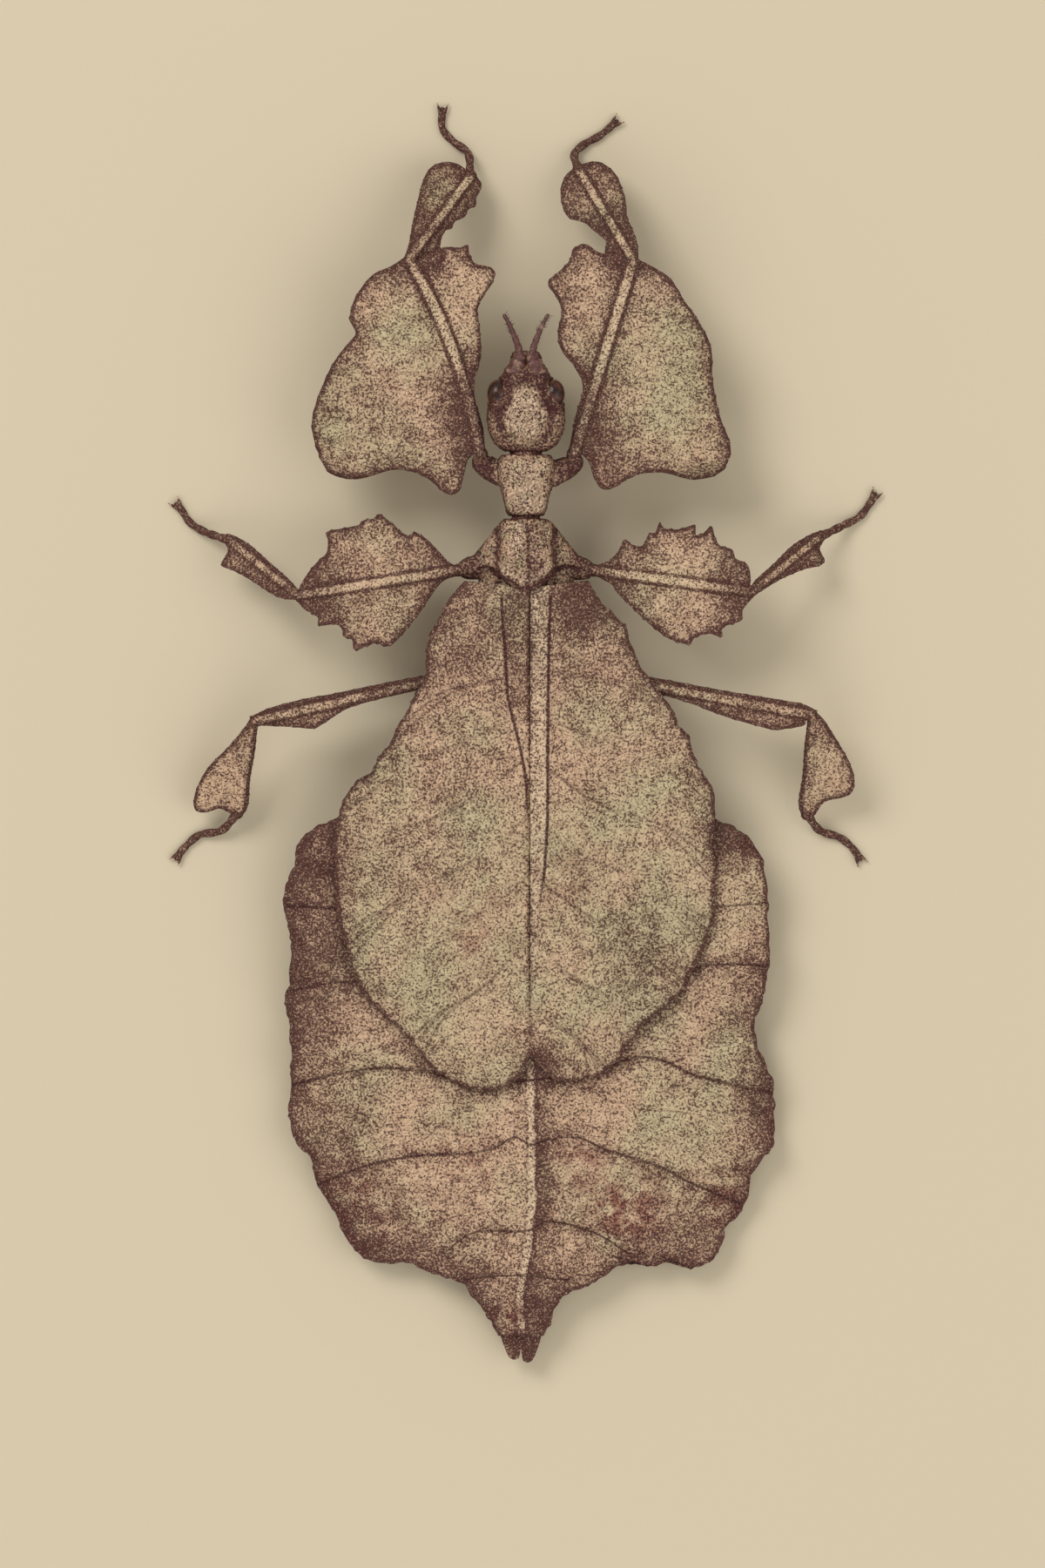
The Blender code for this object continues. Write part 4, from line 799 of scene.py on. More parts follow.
def make_abdomen(material):
    left, middle, right = abdomen_lines()
    plan = across(left, middle, right)
    x, y = plan[..., 0], plan[..., 1]
    margin = nearest(plan, [left[::2], right[::2]])
    half = edge_half(margin, LOBE_THICK / 2)
    centre = lobe_middle(x, y) + LOBE_WAVE * (x / LOBE_REACH) ** 2 * waves(x, y, LOBE_WAVE_LENGTH, 11)
    suture = nearest(plan, [through(line, 40) for line in SUTURES])
    rib, _ = distance_to(plan, through(MIDRIB, 40))
    edge_fade = ease(margin, 0.0, 0.8)
    grooves = SUTURE_DEPTH * bell(suture / SUTURE_HALF) * edge_fade
    side_vein = bell(off_vein(leaf_veins(x, y)) / 0.15) * ease(np.abs(x), 2.0, 5.0) * edge_fade
    relief = MIDRIB_RISE * bell(rib / MIDRIB_HALF) - grooves + 0.06 * side_vein
    relief += 0.07 * edge_fade * waves(x, y, 2.2, 21)
    top = centre + half + along(CORE_RISE, y) * bell(x / CORE_WIDTH) + relief
    keel = along(KEEL_DEPTH, y) * bell(x / KEEL_WIDTH)
    bottom = np.maximum(centre - half - keel + grooves + 0.05 * edge_fade * waves(x, y, 1.8, 22), 0.0)
    shells = [sheet(np.dstack([plan, top]), np.dstack([plan, bottom]))]
    shells += [cercus_shell(side) for side in SIDES]
    piece = unite("abdomen_skin", shells)
    points = points_of(piece)
    plan = points[:, :2]
    x, y = plan.T
    margin = nearest(plan, [left[::2], right[::2]])
    suture = nearest(plan, [through(line, 30) for line in SUTURES])
    shade = nearest(plan, [through(line, 90) for line in WING_OUTLINES.values()])
    rib = side_of(plan, through(MIDRIB, 40))
    # Painted shade: the abdomen darkens towards its margins, in a painted shadow along the tegmina's edges and around
    # the sutures' grooves; MAROON_PATCHES are its own colour.
    maroon = 0.02 + 0.45 * np.exp(-margin / 1.2) + 0.3 * np.exp(-margin / 3.0) + 0.6 * np.exp(-shade / 0.75)
    maroon += patches(x, y, MAROON_PATCHES) + 0.25 * bell(suture / 0.6)
    maroon += np.where(rib > 0.3, np.exp(-(rib - 0.3) / 1.3), 0) * (0.5 + 0.5 * bell((y - 38) / 5))
    partial = bell(suture / 0.8) * (0.7 + 0.3 * ease(waves(x, y, 7.0, 23), -0.7, 0.2))
    paint(piece, {"olive": patches(x, y, OLIVE_PATCHES), "maroon": maroon, "rib": np.full(len(x), 0.35),
                  "red": patches(x, y, RED_PATCHES), "pale": 0.5 * bell(rib / 0.42), "vein": partial,
                  "fine": 0.7 * ease(np.abs(x), 2.0, 5.0)})
    measure(piece, {"edge": margin, "line": rib / MIDRIB_HALF, "net": leaf_veins(x, y),
                    "suture": segment_phase(x, y)})
    dress(piece, material, "abdomen", "abdomen", "terminal_segment", "cercus_left", "cercus_right")


def leaf_veins(x, y):
    """Phase of the faint veins that run out and back from the abdomen's middle: a whole number on each."""
    return (y - 0.35 * np.abs(x) + 0.5 * waves(x, y, 9.0, 5)) / VEIN_PITCH


def off_vein(phase):
    """Distance to the nearest of a set of faint veins."""
    return np.abs(phase - np.round(phase)) * VEIN_PITCH


def segment_phase(x, y):
    """Counts the abdomen's segments from front to back: a whole number on each suture."""
    lines = [through(line, 60)[::-1] for line in SUTURES]
    places = np.array([np.interp(x, line[:, 0], line[:, 1]) for line in lines])
    before = np.clip((places < y).sum(axis=0) - 1, 0, len(places) - 2)
    near = np.take_along_axis(places, before[None], axis=0)[0]
    far = np.take_along_axis(places, before[None] + 1, axis=0)[0]
    return before + (y - near) / np.maximum(far - near, 0.5)


def cercus_shell(side):
    """A small flat leaf behind the last segment, with a low ridge."""
    (root_x, root_y), (tip_x, tip_y) = CERCI[side]
    t = np.linspace(0, 1, 40)[:, None]
    s = np.linspace(-1, 1, 25)[None, :]
    half = along(CERCUS_HALF, t)
    x = root_x + (tip_x - root_x) * t + half * s
    y = root_y + (tip_y - root_y) * t + 0 * s
    rim = np.minimum(half * (1 - np.abs(s)), (1 - t) * (tip_y - root_y))
    thick = edge_half(rim * 2.0, CERCUS_THICK) + 0.08 * bell(s / 0.3)
    middle = lobe_middle(x, y)
    return sheet(np.dstack([x, y, middle + thick]), np.dstack([x, y, middle - thick]))


# The tegmina.
def wing_plan(side, t, s):
    """Plan point of a tegmen at t along it and s across it, from the seam to its outer edge."""
    sign = SIDES[side]
    inner_x = SEAM + sign * SEAM_GAP / 2
    spread = t + WING_SPREAD * t * (1 - t) ** 2
    inner = np.column_stack([np.full(len(t), inner_x), WING_FRONT + (WING_NOTCH - WING_FRONT) * t])
    outer = through([*WING_OUTLINES[side], (inner_x, WING_NOTCH)], spread)
    return inner, outer, inner + s[:, None] * (outer - inner)


def main_vein_share(side, t):
    """Where across the tegmen its main vein runs."""
    inner, outer, _ = wing_plan(side, t, np.zeros(len(t)))
    width = np.linalg.norm(outer - inner, axis=1)
    return np.minimum(along(MAIN_VEIN[side], t) / np.maximum(width, MERGE), 0.4)


def wing_veins(side):
    """The side veins as lines in plan, each forked before the margin."""
    lines = []
    for k, start in enumerate(SIDE_VEINS):
        s = np.linspace(main_vein_share(side, np.array([start]))[0], 0.97, 26)
        bow = 0.012 * np.sin(2 * math.pi * s) + 0.004 * np.sin(9 * s + 2 * k)
        lines.append(wing_plan(side, start + bow, s)[2])
        for turn in (1, -1):
            branch = s[s > FORK_START - 0.12 * turn]
            away = turn * FORK_SPREAD * ease(branch, branch[0], 1.15) * (1 - 0.4 * start)
            bow = 0.012 * np.sin(2 * math.pi * branch) + 0.004 * np.sin(9 * branch + 2 * k)
            lines.append(wing_plan(side, np.clip(start + bow + away, 0, 0.99), branch)[2])
    return lines


def main_vein(side):
    t = np.linspace(0, 0.96, 60)
    return wing_plan(side, t, main_vein_share(side, t))[2]


def make_wing(side, material):
    t = np.linspace(0, 1, WING_ROWS)
    inner, outer, _ = wing_plan(side, t, t)
    outer = roughened(outer, WING_SEEDS[side])
    outer[0] = outer[1] + (outer[1] - outer[2])
    s = 1 - (1 - np.linspace(0, 1, WING_COLUMNS)) ** 1.25
    plan = inner[:, None] + s[None, :, None] * (outer - inner)[:, None]
    x, y = plan[..., 0], plan[..., 1]
    margin, _ = distance_to(plan, outer[::2])
    main, main_place = distance_to(plan, main_vein(side))
    veins = wing_veins(side)
    vein = nearest(plan, veins)
    from_seam = np.abs(x - SEAM)
    seam_round = 1 - 0.2 * np.exp(-from_seam / 0.12)
    edge_fade = ease(margin, 0.05, 1.2)
    under = back(x, y) + GAP + WING_LIFT * s[None, :] ** 3 * (0.6 + 0.4 * waves(x, y, 5.5, 51)) * ease(y, -9, -3)
    thick = 2 * edge_half(margin, WING_THICK / 2) * seam_round
    main_rise = MAIN_RISE * bell(main / MAIN_HALF) * (1 - 0.5 * main_place)
    relief = main_rise + SIDE_RISE * bell(vein / SIDE_HALF) * edge_fade
    relief = relief + BAND_RISE[side] * seam_band(side, x, y) * ease(y, -12, -9) * (1 - ease(y, 16, 24))
    relief += 0.05 * edge_fade * waves(x, y, 1.9, 61) - 0.06 * edge_fade * bell(vein / 1.6)
    top = np.dstack([plan, under + thick + relief])
    bottom = np.dstack([plan, under])
    piece = build(f"tegmen_{side}_skin", sheet(top, bottom))
    plan = points_of(piece)[:, :2]
    x, y = plan.T
    margin, _ = distance_to(plan, outer[::2])
    vein = nearest(plan, veins)
    band = seam_band(side, x, y)
    # Painted shade: the tegmen darkens towards its margin.
    maroon = 0.03 + 0.35 * np.exp(-margin / 1.2) + 0.33 * np.exp(-np.maximum(y - WING_FRONT, 0) / 9.0)
    maroon += patches(x, y, MAROON_PATCHES)
    # Painted shade: a dark line along the seam, where the gap between the two tegmina lies in shadow.
    maroon += bell((x - SEAM) / 0.3) * (0.35 * ease(y, 8, 14) + 0.5 * (1 - ease(y, -2, 3)))
    if side == "left":
        maroon += 0.2 * band * (1 - ease(y, -6, 5))
        pale = 0.25 * band * ease(y, -1, 3) * (1 - ease(y, 6, 9))
    else:
        pale = 0.45 * band * (1 - ease(y, 19, 24))
    shown = 0.15 + 0.85 * ease(waves(x, y, 8.0, 25), -0.4, 0.6)
    paint(piece, {"olive": 0.15 + patches(x, y, OLIVE_PATCHES), "maroon": maroon * (1 - 0.5 * pale), "pale": pale,
                  "red": patches(x, y, RED_PATCHES), "vein": 0.75 * shown * bell(vein / 0.1),
                  "rib": (1 - ease(y, *MAIN_END[side])) * ease(y, -11.8, -11)})
    measure(piece, {"edge": margin, "line": side_of(plan, main_vein(side)) / VEIN_DRAWN})
    dress(piece, material, "tegmen", f"tegmen_{side}")


def seam_band(side, x, y):
    """1 on the narrow band between the seam and the main vein."""
    width = along(MAIN_VEIN[side], np.clip((y - WING_FRONT) / (WING_NOTCH - WING_FRONT), 0, 1))
    return 1 - ease(np.abs(x - SEAM) - width, -0.25, 0.05)


# The legs.
def toothed(edge, kind, seed):
    """Adds teeth to one edge of a blade: large ones where the kind has them, low ones elsewhere."""
    draw = np.random.default_rng(seed)
    place = np.linspace(0, 1, len(edge))
    first, last, count, height, width = TEETH.get(kind, TEETH_PLAIN)
    for centre in np.linspace(first, last, count) + draw.uniform(-0.012, 0.012, count):
        tall = height * draw.uniform(0.6, 1.15)
        rise = np.clip(1 - np.abs(place - centre) / (width * np.where(place > centre, 0.5, 1.2)), 0, 1)
        edge[:, 1] += tall * rise**1.3
    return edge


def lean_at(t, skew, length):
    """How far the rows of a blade stand askew, so that its end rows lie along the bevelled joints."""
    near_end = np.maximum(0, 1 - t * length / BEVEL_FADE)
    far_end = np.maximum(0, 1 - (1 - t) * length / BEVEL_FADE)
    return skew[0] * near_end + skew[1] * far_end


def leg_veins(distance_along, width):
    """Phase of the faint veins that leave a leg's shaft obliquely."""
    return (distance_along - 0.7 * np.abs(width) + 0.3 * waves(distance_along, width, 5.0, 8)) / VEIN_PITCH


def blade(segment, leg, side, upper, lower, turns):
    """A leg segment's shell, with its rib and its two rims as lines in plan."""
    kind = f"{segment}_{leg}"
    name = f"{kind}_{side}"
    shaft, rows = SHAFTS[kind], BLADE_ROWS[kind]
    run = (lower - upper)[:2]
    length = np.linalg.norm(run)
    out = np.array([-run[1], run[0]]) / length * SIDES[side]
    skew = [math.tan(turn) * shaft / length for turn in turns]
    t = np.linspace(0, 1, rows)
    middle = -4 * BLADE_BOW.get(name, 0.0) * t * (1 - t)
    lean = lean_at(t, skew, length)
    to_mm = np.array([length, 1.0])
    lobes = []
    for sign, table in ((-1, FRONT), (1, REAR)):
        feet = [(sign * skew[0], shaft), (1 + sign * skew[1], shaft)]
        edge = through(np.array([feet[0], *table[name], feet[1]]) * to_mm, rows) / to_mm
        edge = toothed(edge, kind, len(name) + 7 * sign)
        rim = np.column_stack([edge[:, 0], sign * np.maximum(edge[:, 1], shaft + HEM)])
        foot = np.column_stack([t + sign * lean, middle + sign * shaft])
        steps = np.linspace(0, 1, BLADE_COLUMNS[kind] + 1)[1:]
        grid = foot[:, None] + steps[None, :, None] * (rim - foot)[:, None]
        wide = np.linalg.norm((rim - foot) * to_mm, axis=1)[:, None]
        lobes.append((grid, steps * wide, (1 - steps) * wide))
    spread = np.linspace(-1, 1, SHAFT_COLUMNS)
    stem = np.stack([t[:, None] + spread * lean[:, None], middle[:, None] + spread * shaft + 0 * t[:, None]], -1)
    grid = np.concatenate([lobes[0][0][:, ::-1], stem, lobes[1][0]], axis=1)
    zeros = np.zeros((rows, SHAFT_COLUMNS))
    from_shaft = np.concatenate([lobes[0][1][:, ::-1], zeros + (np.abs(spread) - 1) * shaft, lobes[1][1]], axis=1)
    from_rim = np.concatenate([lobes[0][2][:, ::-1], zeros + lobes[0][1][:, -1:], lobes[1][2]], axis=1)
    part, width = grid[..., 0], grid[..., 1]
    plan = upper[:2] + part[..., None] * run + width[..., None] * out
    x, y = plan[..., 0], plan[..., 1]
    outward = np.abs(width) / BLADE_REACH
    level = upper[2] + (lower[2] - upper[2]) * np.clip(part, 0, 1)
    level += outward**2 * (BLADE_RIPPLE * np.sin(BLADE_WAVES * part) - BLADE_DROOP)
    level += 0.3 * outward * waves(x, y, 4.0, 71)
    reach = (from_shaft + shaft) / (1.15 * shaft)
    rod = shaft * np.sqrt(np.clip(1 - reach**2, 0, 1)) + 0.16 * shaft * np.exp(-((reach - 1) / 0.5) ** 2)
    half = (edge_half(from_rim, LEG_HALF) ** 3 + rod**3) ** (1 / 3)
    lobe_fade = ease(from_shaft, 0.1, 0.8) * ease(from_rim, 0.1, 0.8)
    relief = lobe_fade * (0.07 * bell(off_vein(leg_veins(part * length, width)) / 0.17) + 0.05 * waves(x, y, 1.7, 81))
    shell = sheet(np.dstack([plan, level + half + relief]), np.dstack([plan, level - half]))
    rib = upper[:2] + t[:, None] * run + middle[:, None] * out
    rims = [plan[:, 0], plan[:, -1]]
    return {"shell": shell, "rib": rib[::6], "shown": RIB_SHOWN.get(kind, 1.0), "rims": rims, "shaft": shaft,
            "frame": (upper[:2], run / length, out)}


def jointed(place, joints, waist=0.8, swell=1.08):
    """Thickness along a jointed rod: each joint widens to its far end and is pinched where it meets the next."""
    phase = (place * LAST_JOINT * joints) % 1.0
    return waist + (swell - waist) * np.sin(math.pi * np.clip(phase * 0.75 + 0.1, 0, 1)) ** 1.5


def tarsus_shells(leg, side, start):
    """The five-jointed foot with its two claws and the pad between them."""
    points = [start, *[(*place, z) for place, z in zip(TOES[f"{leg}_{side}"], TOE_HEIGHTS)]]
    path = through(points, 130)
    place = np.linspace(0, 1, len(path))
    widths = np.interp(place, (0, 1), TARSUS_RADII) * jointed(place, TARSUS_JOINTS)
    root, tip = path[-12], path[-1]
    aim = math.atan2(tip[1] - root[1], tip[0] - root[0])
    shells = [tube(path, widths, 20, 0.92)]
    for turn in (CLAW_SPREAD, -CLAW_SPREAD):
        knuckle = aim + CLAW_HOOK * turn
        bend = CLAW_LENGTH / 2 * np.array([math.cos(knuckle), math.sin(knuckle), CLAW_LIFT])
        far = CLAW_LENGTH * np.array([math.cos(aim + turn), math.sin(aim + turn), 0.0])
        claw = through([root, tip + bend, tip + far], 26)
        claw[:, 2] += 0.1 * np.sin(np.linspace(0, math.pi, 26))
        shells.append(tube(claw, np.interp(np.linspace(0, 1, 26), (0, 0.4, 1), (0.2, 0.17, 0.035)), 12))
    pad = np.array([math.cos(aim), math.sin(aim), 0.0])
    shells.append(tube(np.linspace(tip - 0.2 * pad, tip + 0.32 * pad, 12), 0.22, 14, 0.8))
    for shell in shells:
        shell[0][:, 2] = np.maximum(shell[0][:, 2], 0.0)
    return shells, path[:, :2]


def leg_frame(leg, side):
    """Hip, knee and ankle of a leg, with the directions of its thigh and shin."""
    heights = (HIPS[leg], KNEES[leg], ANKLES[leg])
    hip, knee, ankle = [np.array([*place, z]) for place, z in zip(JOINTS[f"{leg}_{side}"], heights)]
    thigh = (knee - hip) / np.linalg.norm(knee - hip)
    shin = (ankle - knee) / np.linalg.norm(ankle - knee)
    return hip, knee, ankle, thigh, shin


def make_leg(leg, side, material):
    hip, knee, ankle, thigh, shin = leg_frame(leg, side)
    bend = math.atan2(thigh[0] * shin[1] - thigh[1] * shin[0], thigh[:2] @ shin[:2])
    bend *= SIDES[side]
    femur = blade("femur", leg, side, hip, knee, (0.0, -bend / 2))
    tibia = blade("tibia", leg, side, knee, ankle, (bend / 2, 0.0))
    knee_path = through([knee - 1.3 * thigh, knee - 0.3 * thigh, knee + 0.3 * shin, knee + 1.3 * shin], 40)
    knee_width = np.interp(np.linspace(0, 1, 40), (0, 0.3, 0.5, 0.62, 1), (0.9, 1.16, 1.3, 1.02, 0.9))
    knee_width *= np.linspace(femur["shaft"], tibia["shaft"], 40)
    hip_path = through([hip - 0.9 * thigh, hip, hip + 1.4 * thigh], 30)
    hip_width = femur["shaft"] * np.interp(np.linspace(0, 1, 30), (0, 0.35, 0.42, 1), (1.2, 1.25, 1.05, 0.9))
    ankle_path = through([ankle - 1.0 * shin, ankle - 0.3 * shin, ankle + 0.25 * shin], 20)
    ankle_width = tibia["shaft"] * np.interp(np.linspace(0, 1, 20), (0, 0.7, 1), (0.9, 1.15, 0.9))
    feet, foot_line = tarsus_shells(leg, side, ankle - shin * ANKLE_DEPTH)
    rods = [tube(knee_path, knee_width, 28), tube(hip_path, hip_width, 28), tube(ankle_path, ankle_width, 24)]
    piece = unite(f"leg_{leg}_{side}", [femur["shell"], tibia["shell"], *rods, *feet])
    paint_leg(piece, points_of(piece)[:, :2], (femur, tibia), foot_line[12:])
    dress(piece, material, "leg", *[f"{part}_{leg}_{side}" for part in ("femur", "tibia", "tarsus")])


def paint_leg(piece, plan, segments, foot_line):
    x, y = plan.T
    rims = nearest(plan, [rim[::2] for segment in segments for rim in segment["rims"]])
    ribs = [distance_to(plan, segment["rib"])[0] for segment in segments]
    on_tibia = ribs[1] < ribs[0]
    shaft = np.where(on_tibia, segments[1]["shaft"], segments[0]["shaft"])
    rib = side_of(plan, np.vstack([segment["rib"] for segment in segments]))
    foot = bell(np.maximum(distance_to(plan, foot_line[::4])[0] - 0.45, 0) / 0.12)
    phase = np.zeros(len(plan))
    for segment, mask in zip(segments, (~on_tibia, on_tibia)):
        origin, ahead, out = segment["frame"]
        local = plan - origin
        phase[mask] = leg_veins(local @ ahead, local @ out)[mask]
    # Painted shade: the blades darken towards their rims and in a broad band beside the raised rib, strongest outside
    # the shaft; MAROON_PATCHES are the legs' own colour.
    maroon = 0.68 * np.exp(-rims / 1.3) - 0.1 + patches(x, y, MAROON_PATCHES)
    shown = np.where(on_tibia, segments[1]["shown"], segments[0]["shown"])
    maroon += 0.72 * shown * np.exp(-np.abs(rib) / 1.4) * (0.45 + 0.55 * ease(np.abs(rib) / shaft, 0.5, 1.1))
    maroon = np.maximum(maroon, 0.95 * foot)
    paint(piece, {"olive": patches(x, y, OLIVE_PATCHES), "maroon": maroon, "rib": shown * (1 - foot),
                  "red": patches(x, y, RED_PATCHES), "fine": 0.6 * (1 - foot) * ease(np.abs(rib), 1, 2)})
    measure(piece, {"edge": rims, "line": rib / shaft, "net": phase})


# The head and thorax.
def loft(table, fullness):
    """A closed skin over the sections of a table, rounded off at its two ends."""
    return skin([section(*row, fullness) for row in through(table, 70)])


def scutellum_shell():
    under = back(0, WING_FRONT) + WING_THICK + 0.4 * GAP
    rows = through(SCUTELLUM, 40)
    s = np.linspace(1, -1, 41)
    y = np.repeat(rows[:, :1], len(s), axis=1)
    x = rows[:, 1:2] * s
    top = under + 0.6 * GAP + rows[:, 2:3] * (0.3 + 0.7 * np.sqrt(np.clip(1 - s**2, 0, 1)))
    return sheet(np.dstack([x, y, top]), np.dstack([x, y, np.full(x.shape, under - 1.2)]))


def metathorax_shell():
    rings = []
    for y, half_width, low in through(METATHORAX, 60):
        ring = section(y, half_width, low, back(0, y), PRONOTUM_FULLNESS)
        ring[:, 2] = np.minimum(ring[:, 2], back(ring[:, 0], y))
        rings.append(ring)
    return skin(rings)


def coxa_shell(leg, side):
    hip, _, _, thigh, _ = leg_frame(leg, side)
    root_x, root_y = COXA_ROOTS[leg]
    root = np.array([SIDES[side] * root_x, root_y, HIPS[leg]])
    path = through([root, hip - thigh * COXA_ELBOW, hip - 0.1 * thigh], 40)
    return tube(path, along(COXA_RADII, np.linspace(0, 1, 40)), 32)


def vertex_oval(x, y):
    """1 on the rim of the oval field on top of the head, less inside it."""
    centre_x, centre_y, half_width, half_length = VERTEX_OVAL
    return np.hypot((x - centre_x) / half_width, (y - centre_y) / half_length)


def beside_oval(x, y, width):
    """1 on the two sides of the oval, less in front of it and behind it."""
    turn = np.arctan2(y - VERTEX_OVAL[1], np.abs(x))
    return bell((turn + 0.15) / width)


def regions(y):
    """1 on the head, the prothorax and the mesothorax in turn."""
    prothorax = ease(y, -23.0, -22.6) * (1 - ease(y, -18.6, -18.3))
    return 1 - ease(y, -24.0, -23.7), prothorax, ease(y, -17.6, -17.2)


def scutellum_lines(x, y):
    """Distances to the scutellum's rim, curl and fold."""
    lines = ((SCUTELLUM_RIM, 40), (SCUTELLUM_CURL, 20), (SCUTELLUM_FOLD, 30))
    return [distance_to(np.column_stack([x, y]), through(line, count))[0] for line, count in lines]


def body_relief(x, y, up):
    """How far the skin's features stand out of it or sink into it."""
    top = ease(up, 0.15, 0.65)
    head, prothorax, mesothorax = regions(y)
    oval = vertex_oval(x, y)
    ring = 0.35 + 0.65 * beside_oval(x, y, 1.0)
    relief = head * top * (0.1 * (1 - ease(oval, 0.6, 1.05)) - 0.19 * ring * bell((oval - 1.16) / 0.15))
    relief -= head * top * 0.1 * bell((x - 0.1 * np.sin(3 * y)) / 0.11) * (1 - ease(np.abs(y + 25.2), 1.2, 1.6))
    relief += head * top * 0.13 * waves(x, y, 1.5, 101) * (1 - ease(oval, 0.9, 1.3))
    relief += head * 0.16 * bell((eye_distance(x, y) - 1.12) / 0.12) * ease(up, -0.3, 0.2)
    half = along([(row[0], row[1]) for row in PRONOTUM], y)
    relief += prothorax * top * 0.12 * bell((np.abs(x) - 0.78 * half) / 0.24)
    relief -= prothorax * top * (0.09 * bell(x / 0.15) + 0.07 * bell((y + 20.8 - 0.1 * x * x) / 0.2))
    relief += prothorax * top * 0.1 * waves(x, y, 1.7, 103)
    relief += mesothorax * top * 0.2 * bell((x - 0.56) / 0.42) * (1 - ease(y, -14.6, -14.2))
    relief -= mesothorax * top * 0.14 * bell((x + 0.25) / 0.2) * (1 - ease(y, -14.4, -14.0))
    relief -= mesothorax * top * 0.16 * bell((np.abs(x) - 2.35) / 0.2) * (1 - ease(y, -14.2, -13.8))
    relief += mesothorax * top * 0.08 * waves(x, y, 1.6, 105)
    rim, curl, fold = scutellum_lines(x, y)
    relief += top * (0.12 * bell(fold / 0.25) - 0.16 * bell(rim / 0.13) - 0.1 * bell(curl / 0.13))
    return relief


def eye_distance(x, y):
    """1 on the outline of an eye seen from above, more outside it."""
    return np.hypot((np.abs(x) - EYE_PLACE[0]) / EYE_SIZE[0], (y - EYE_PLACE[1]) / EYE_SIZE[1])


def granule_relief(points, up):
    """Fine granules over the upper sides, with a few larger tubercles at set places."""
    draw = np.random.default_rng(5)
    choice = draw.choice(len(points), GRANULES, replace=False)
    heights = draw.uniform(0.5, 1.3, GRANULES) * GRANULE_RISE
    tree = KDTree(GRANULES)
    for k, seed in enumerate(points[choice]):
        tree.insert(seed, k)
    tree.balance()
    found = [tree.find(point) for point in points]
    away = np.array([hit[2] for hit in found])
    relief = heights[[hit[1] for hit in found]] * bell(away / GRANULE_SIZE) * ease(up, -0.5, 0.2)
    for x, y, size in TUBERCLES:
        relief += size * bell(np.hypot(points[:, 0] - x, points[:, 1] - y) / (0.9 * size)) * ease(up, 0.0, 0.5)
    return relief


def make_body(material):
    shells = [loft(HEAD, HEAD_FULLNESS), loft(PRONOTUM, PRONOTUM_FULLNESS), loft(MESONOTUM, MESONOTUM_FULLNESS),
              loft(MESO_FLANKS, FLANK_FULLNESS), metathorax_shell(), scutellum_shell()]
    shells += [tube(np.linspace(start, end, 20), radius, 32) for start, end, radius in NECKS]
    shells += [coxa_shell(leg, side) for leg in COXA_ROOTS for side in SIDES]
    piece = unite("body_skin", shells)
    remesh = piece.modifiers.new("remesh", "REMESH")
    remesh.mode = "VOXEL"
    remesh.voxel_size = SKIN_VOXEL * MM
    soften = piece.modifiers.new("soften", "SMOOTH")
    soften.factor = 0.5
    soften.iterations = SKIN_SMOOTHING
    applied(piece)
    points, normals = points_of(piece), points_of(piece, "normal")
    x, y, _ = points.T
    rise = body_relief(x, y, normals[:, 2]) + granule_relief(points, normals[:, 2])
    points += rise[:, None] * normals
    move_points(piece, points)
    paint_body(piece, points, normals[:, 2])
    nodes = ["head", "pronotum", "mesothorax", "metathorax"]
    nodes += [f"coxa_{leg}_{side}" for leg in COXA_ROOTS for side in SIDES]
    dress(piece, material, "body", *nodes)


def paint_body(piece, points, up):
    x, y, _ = points.T
    top = ease(up, 0.1, 0.6)
    oval = vertex_oval(x, y)
    head, _, mesothorax = regions(y)
    coxae = ease(np.abs(x), 2.3, 3.0) * ease(y, -23.5, -22.8) * (1 - ease(y, -19.5, -18.5))
    # Painted shade: the skin darkens where it faces sideways or down.
    maroon = 0.08 + 0.8 * (1 - ease(up, 0.0, 0.8)) + 0.7 * coxae
    maroon += head * top * (0.35 + 0.45 * beside_oval(x, y, 0.9)) * bell((oval - 1.2) / 0.22)
    maroon += 0.6 * head * (1 - ease(y, -30.2, -28.8))
    maroon += 0.5 * head * bell((eye_distance(x, y) - 1.2) / 0.3)
    maroon += 0.7 * bell((y + 23.4) / 0.3) + 0.7 * bell((y + 17.95) / 0.25)
    # The band at x = -0.85, beside the mesonotum's ridge, is painted shade.
    maroon += mesothorax * (0.25 * bell((x + 0.85) / 0.6) + 0.5 * ease(np.abs(x), 3.2, 4.4))
    maroon += mesothorax * top * (0.5 * bell((np.abs(x) - 2.4) / 0.25) + 0.6 * bell((x + 0.2) / 0.16))
    rim, curl, fold = scutellum_lines(x, y)
    maroon += mesothorax * (0.9 * bell(rim / 0.2) + 0.6 * bell(curl / 0.14))
    pale = 0.6 * head * top * (1 - ease(oval, 0.6, 1.15))
    pale += 0.45 * top * bell(x / 1.6) * ease(y, -22.9, -22.3) * (1 - ease(y, -18.8, -18.2))
    # Painted light: the mesonotum's ridge is paler along x = 0.6.
    pale += 0.6 * top * mesothorax * bell((x - 0.6) / 0.5) * (1 - ease(y, -14.8, -14.2))
    pale += 0.5 * top * bell(fold / 0.3)
    paint(piece, {"maroon": maroon * (1 - 0.5 * np.clip(pale, 0, 1)), "pale": pale})


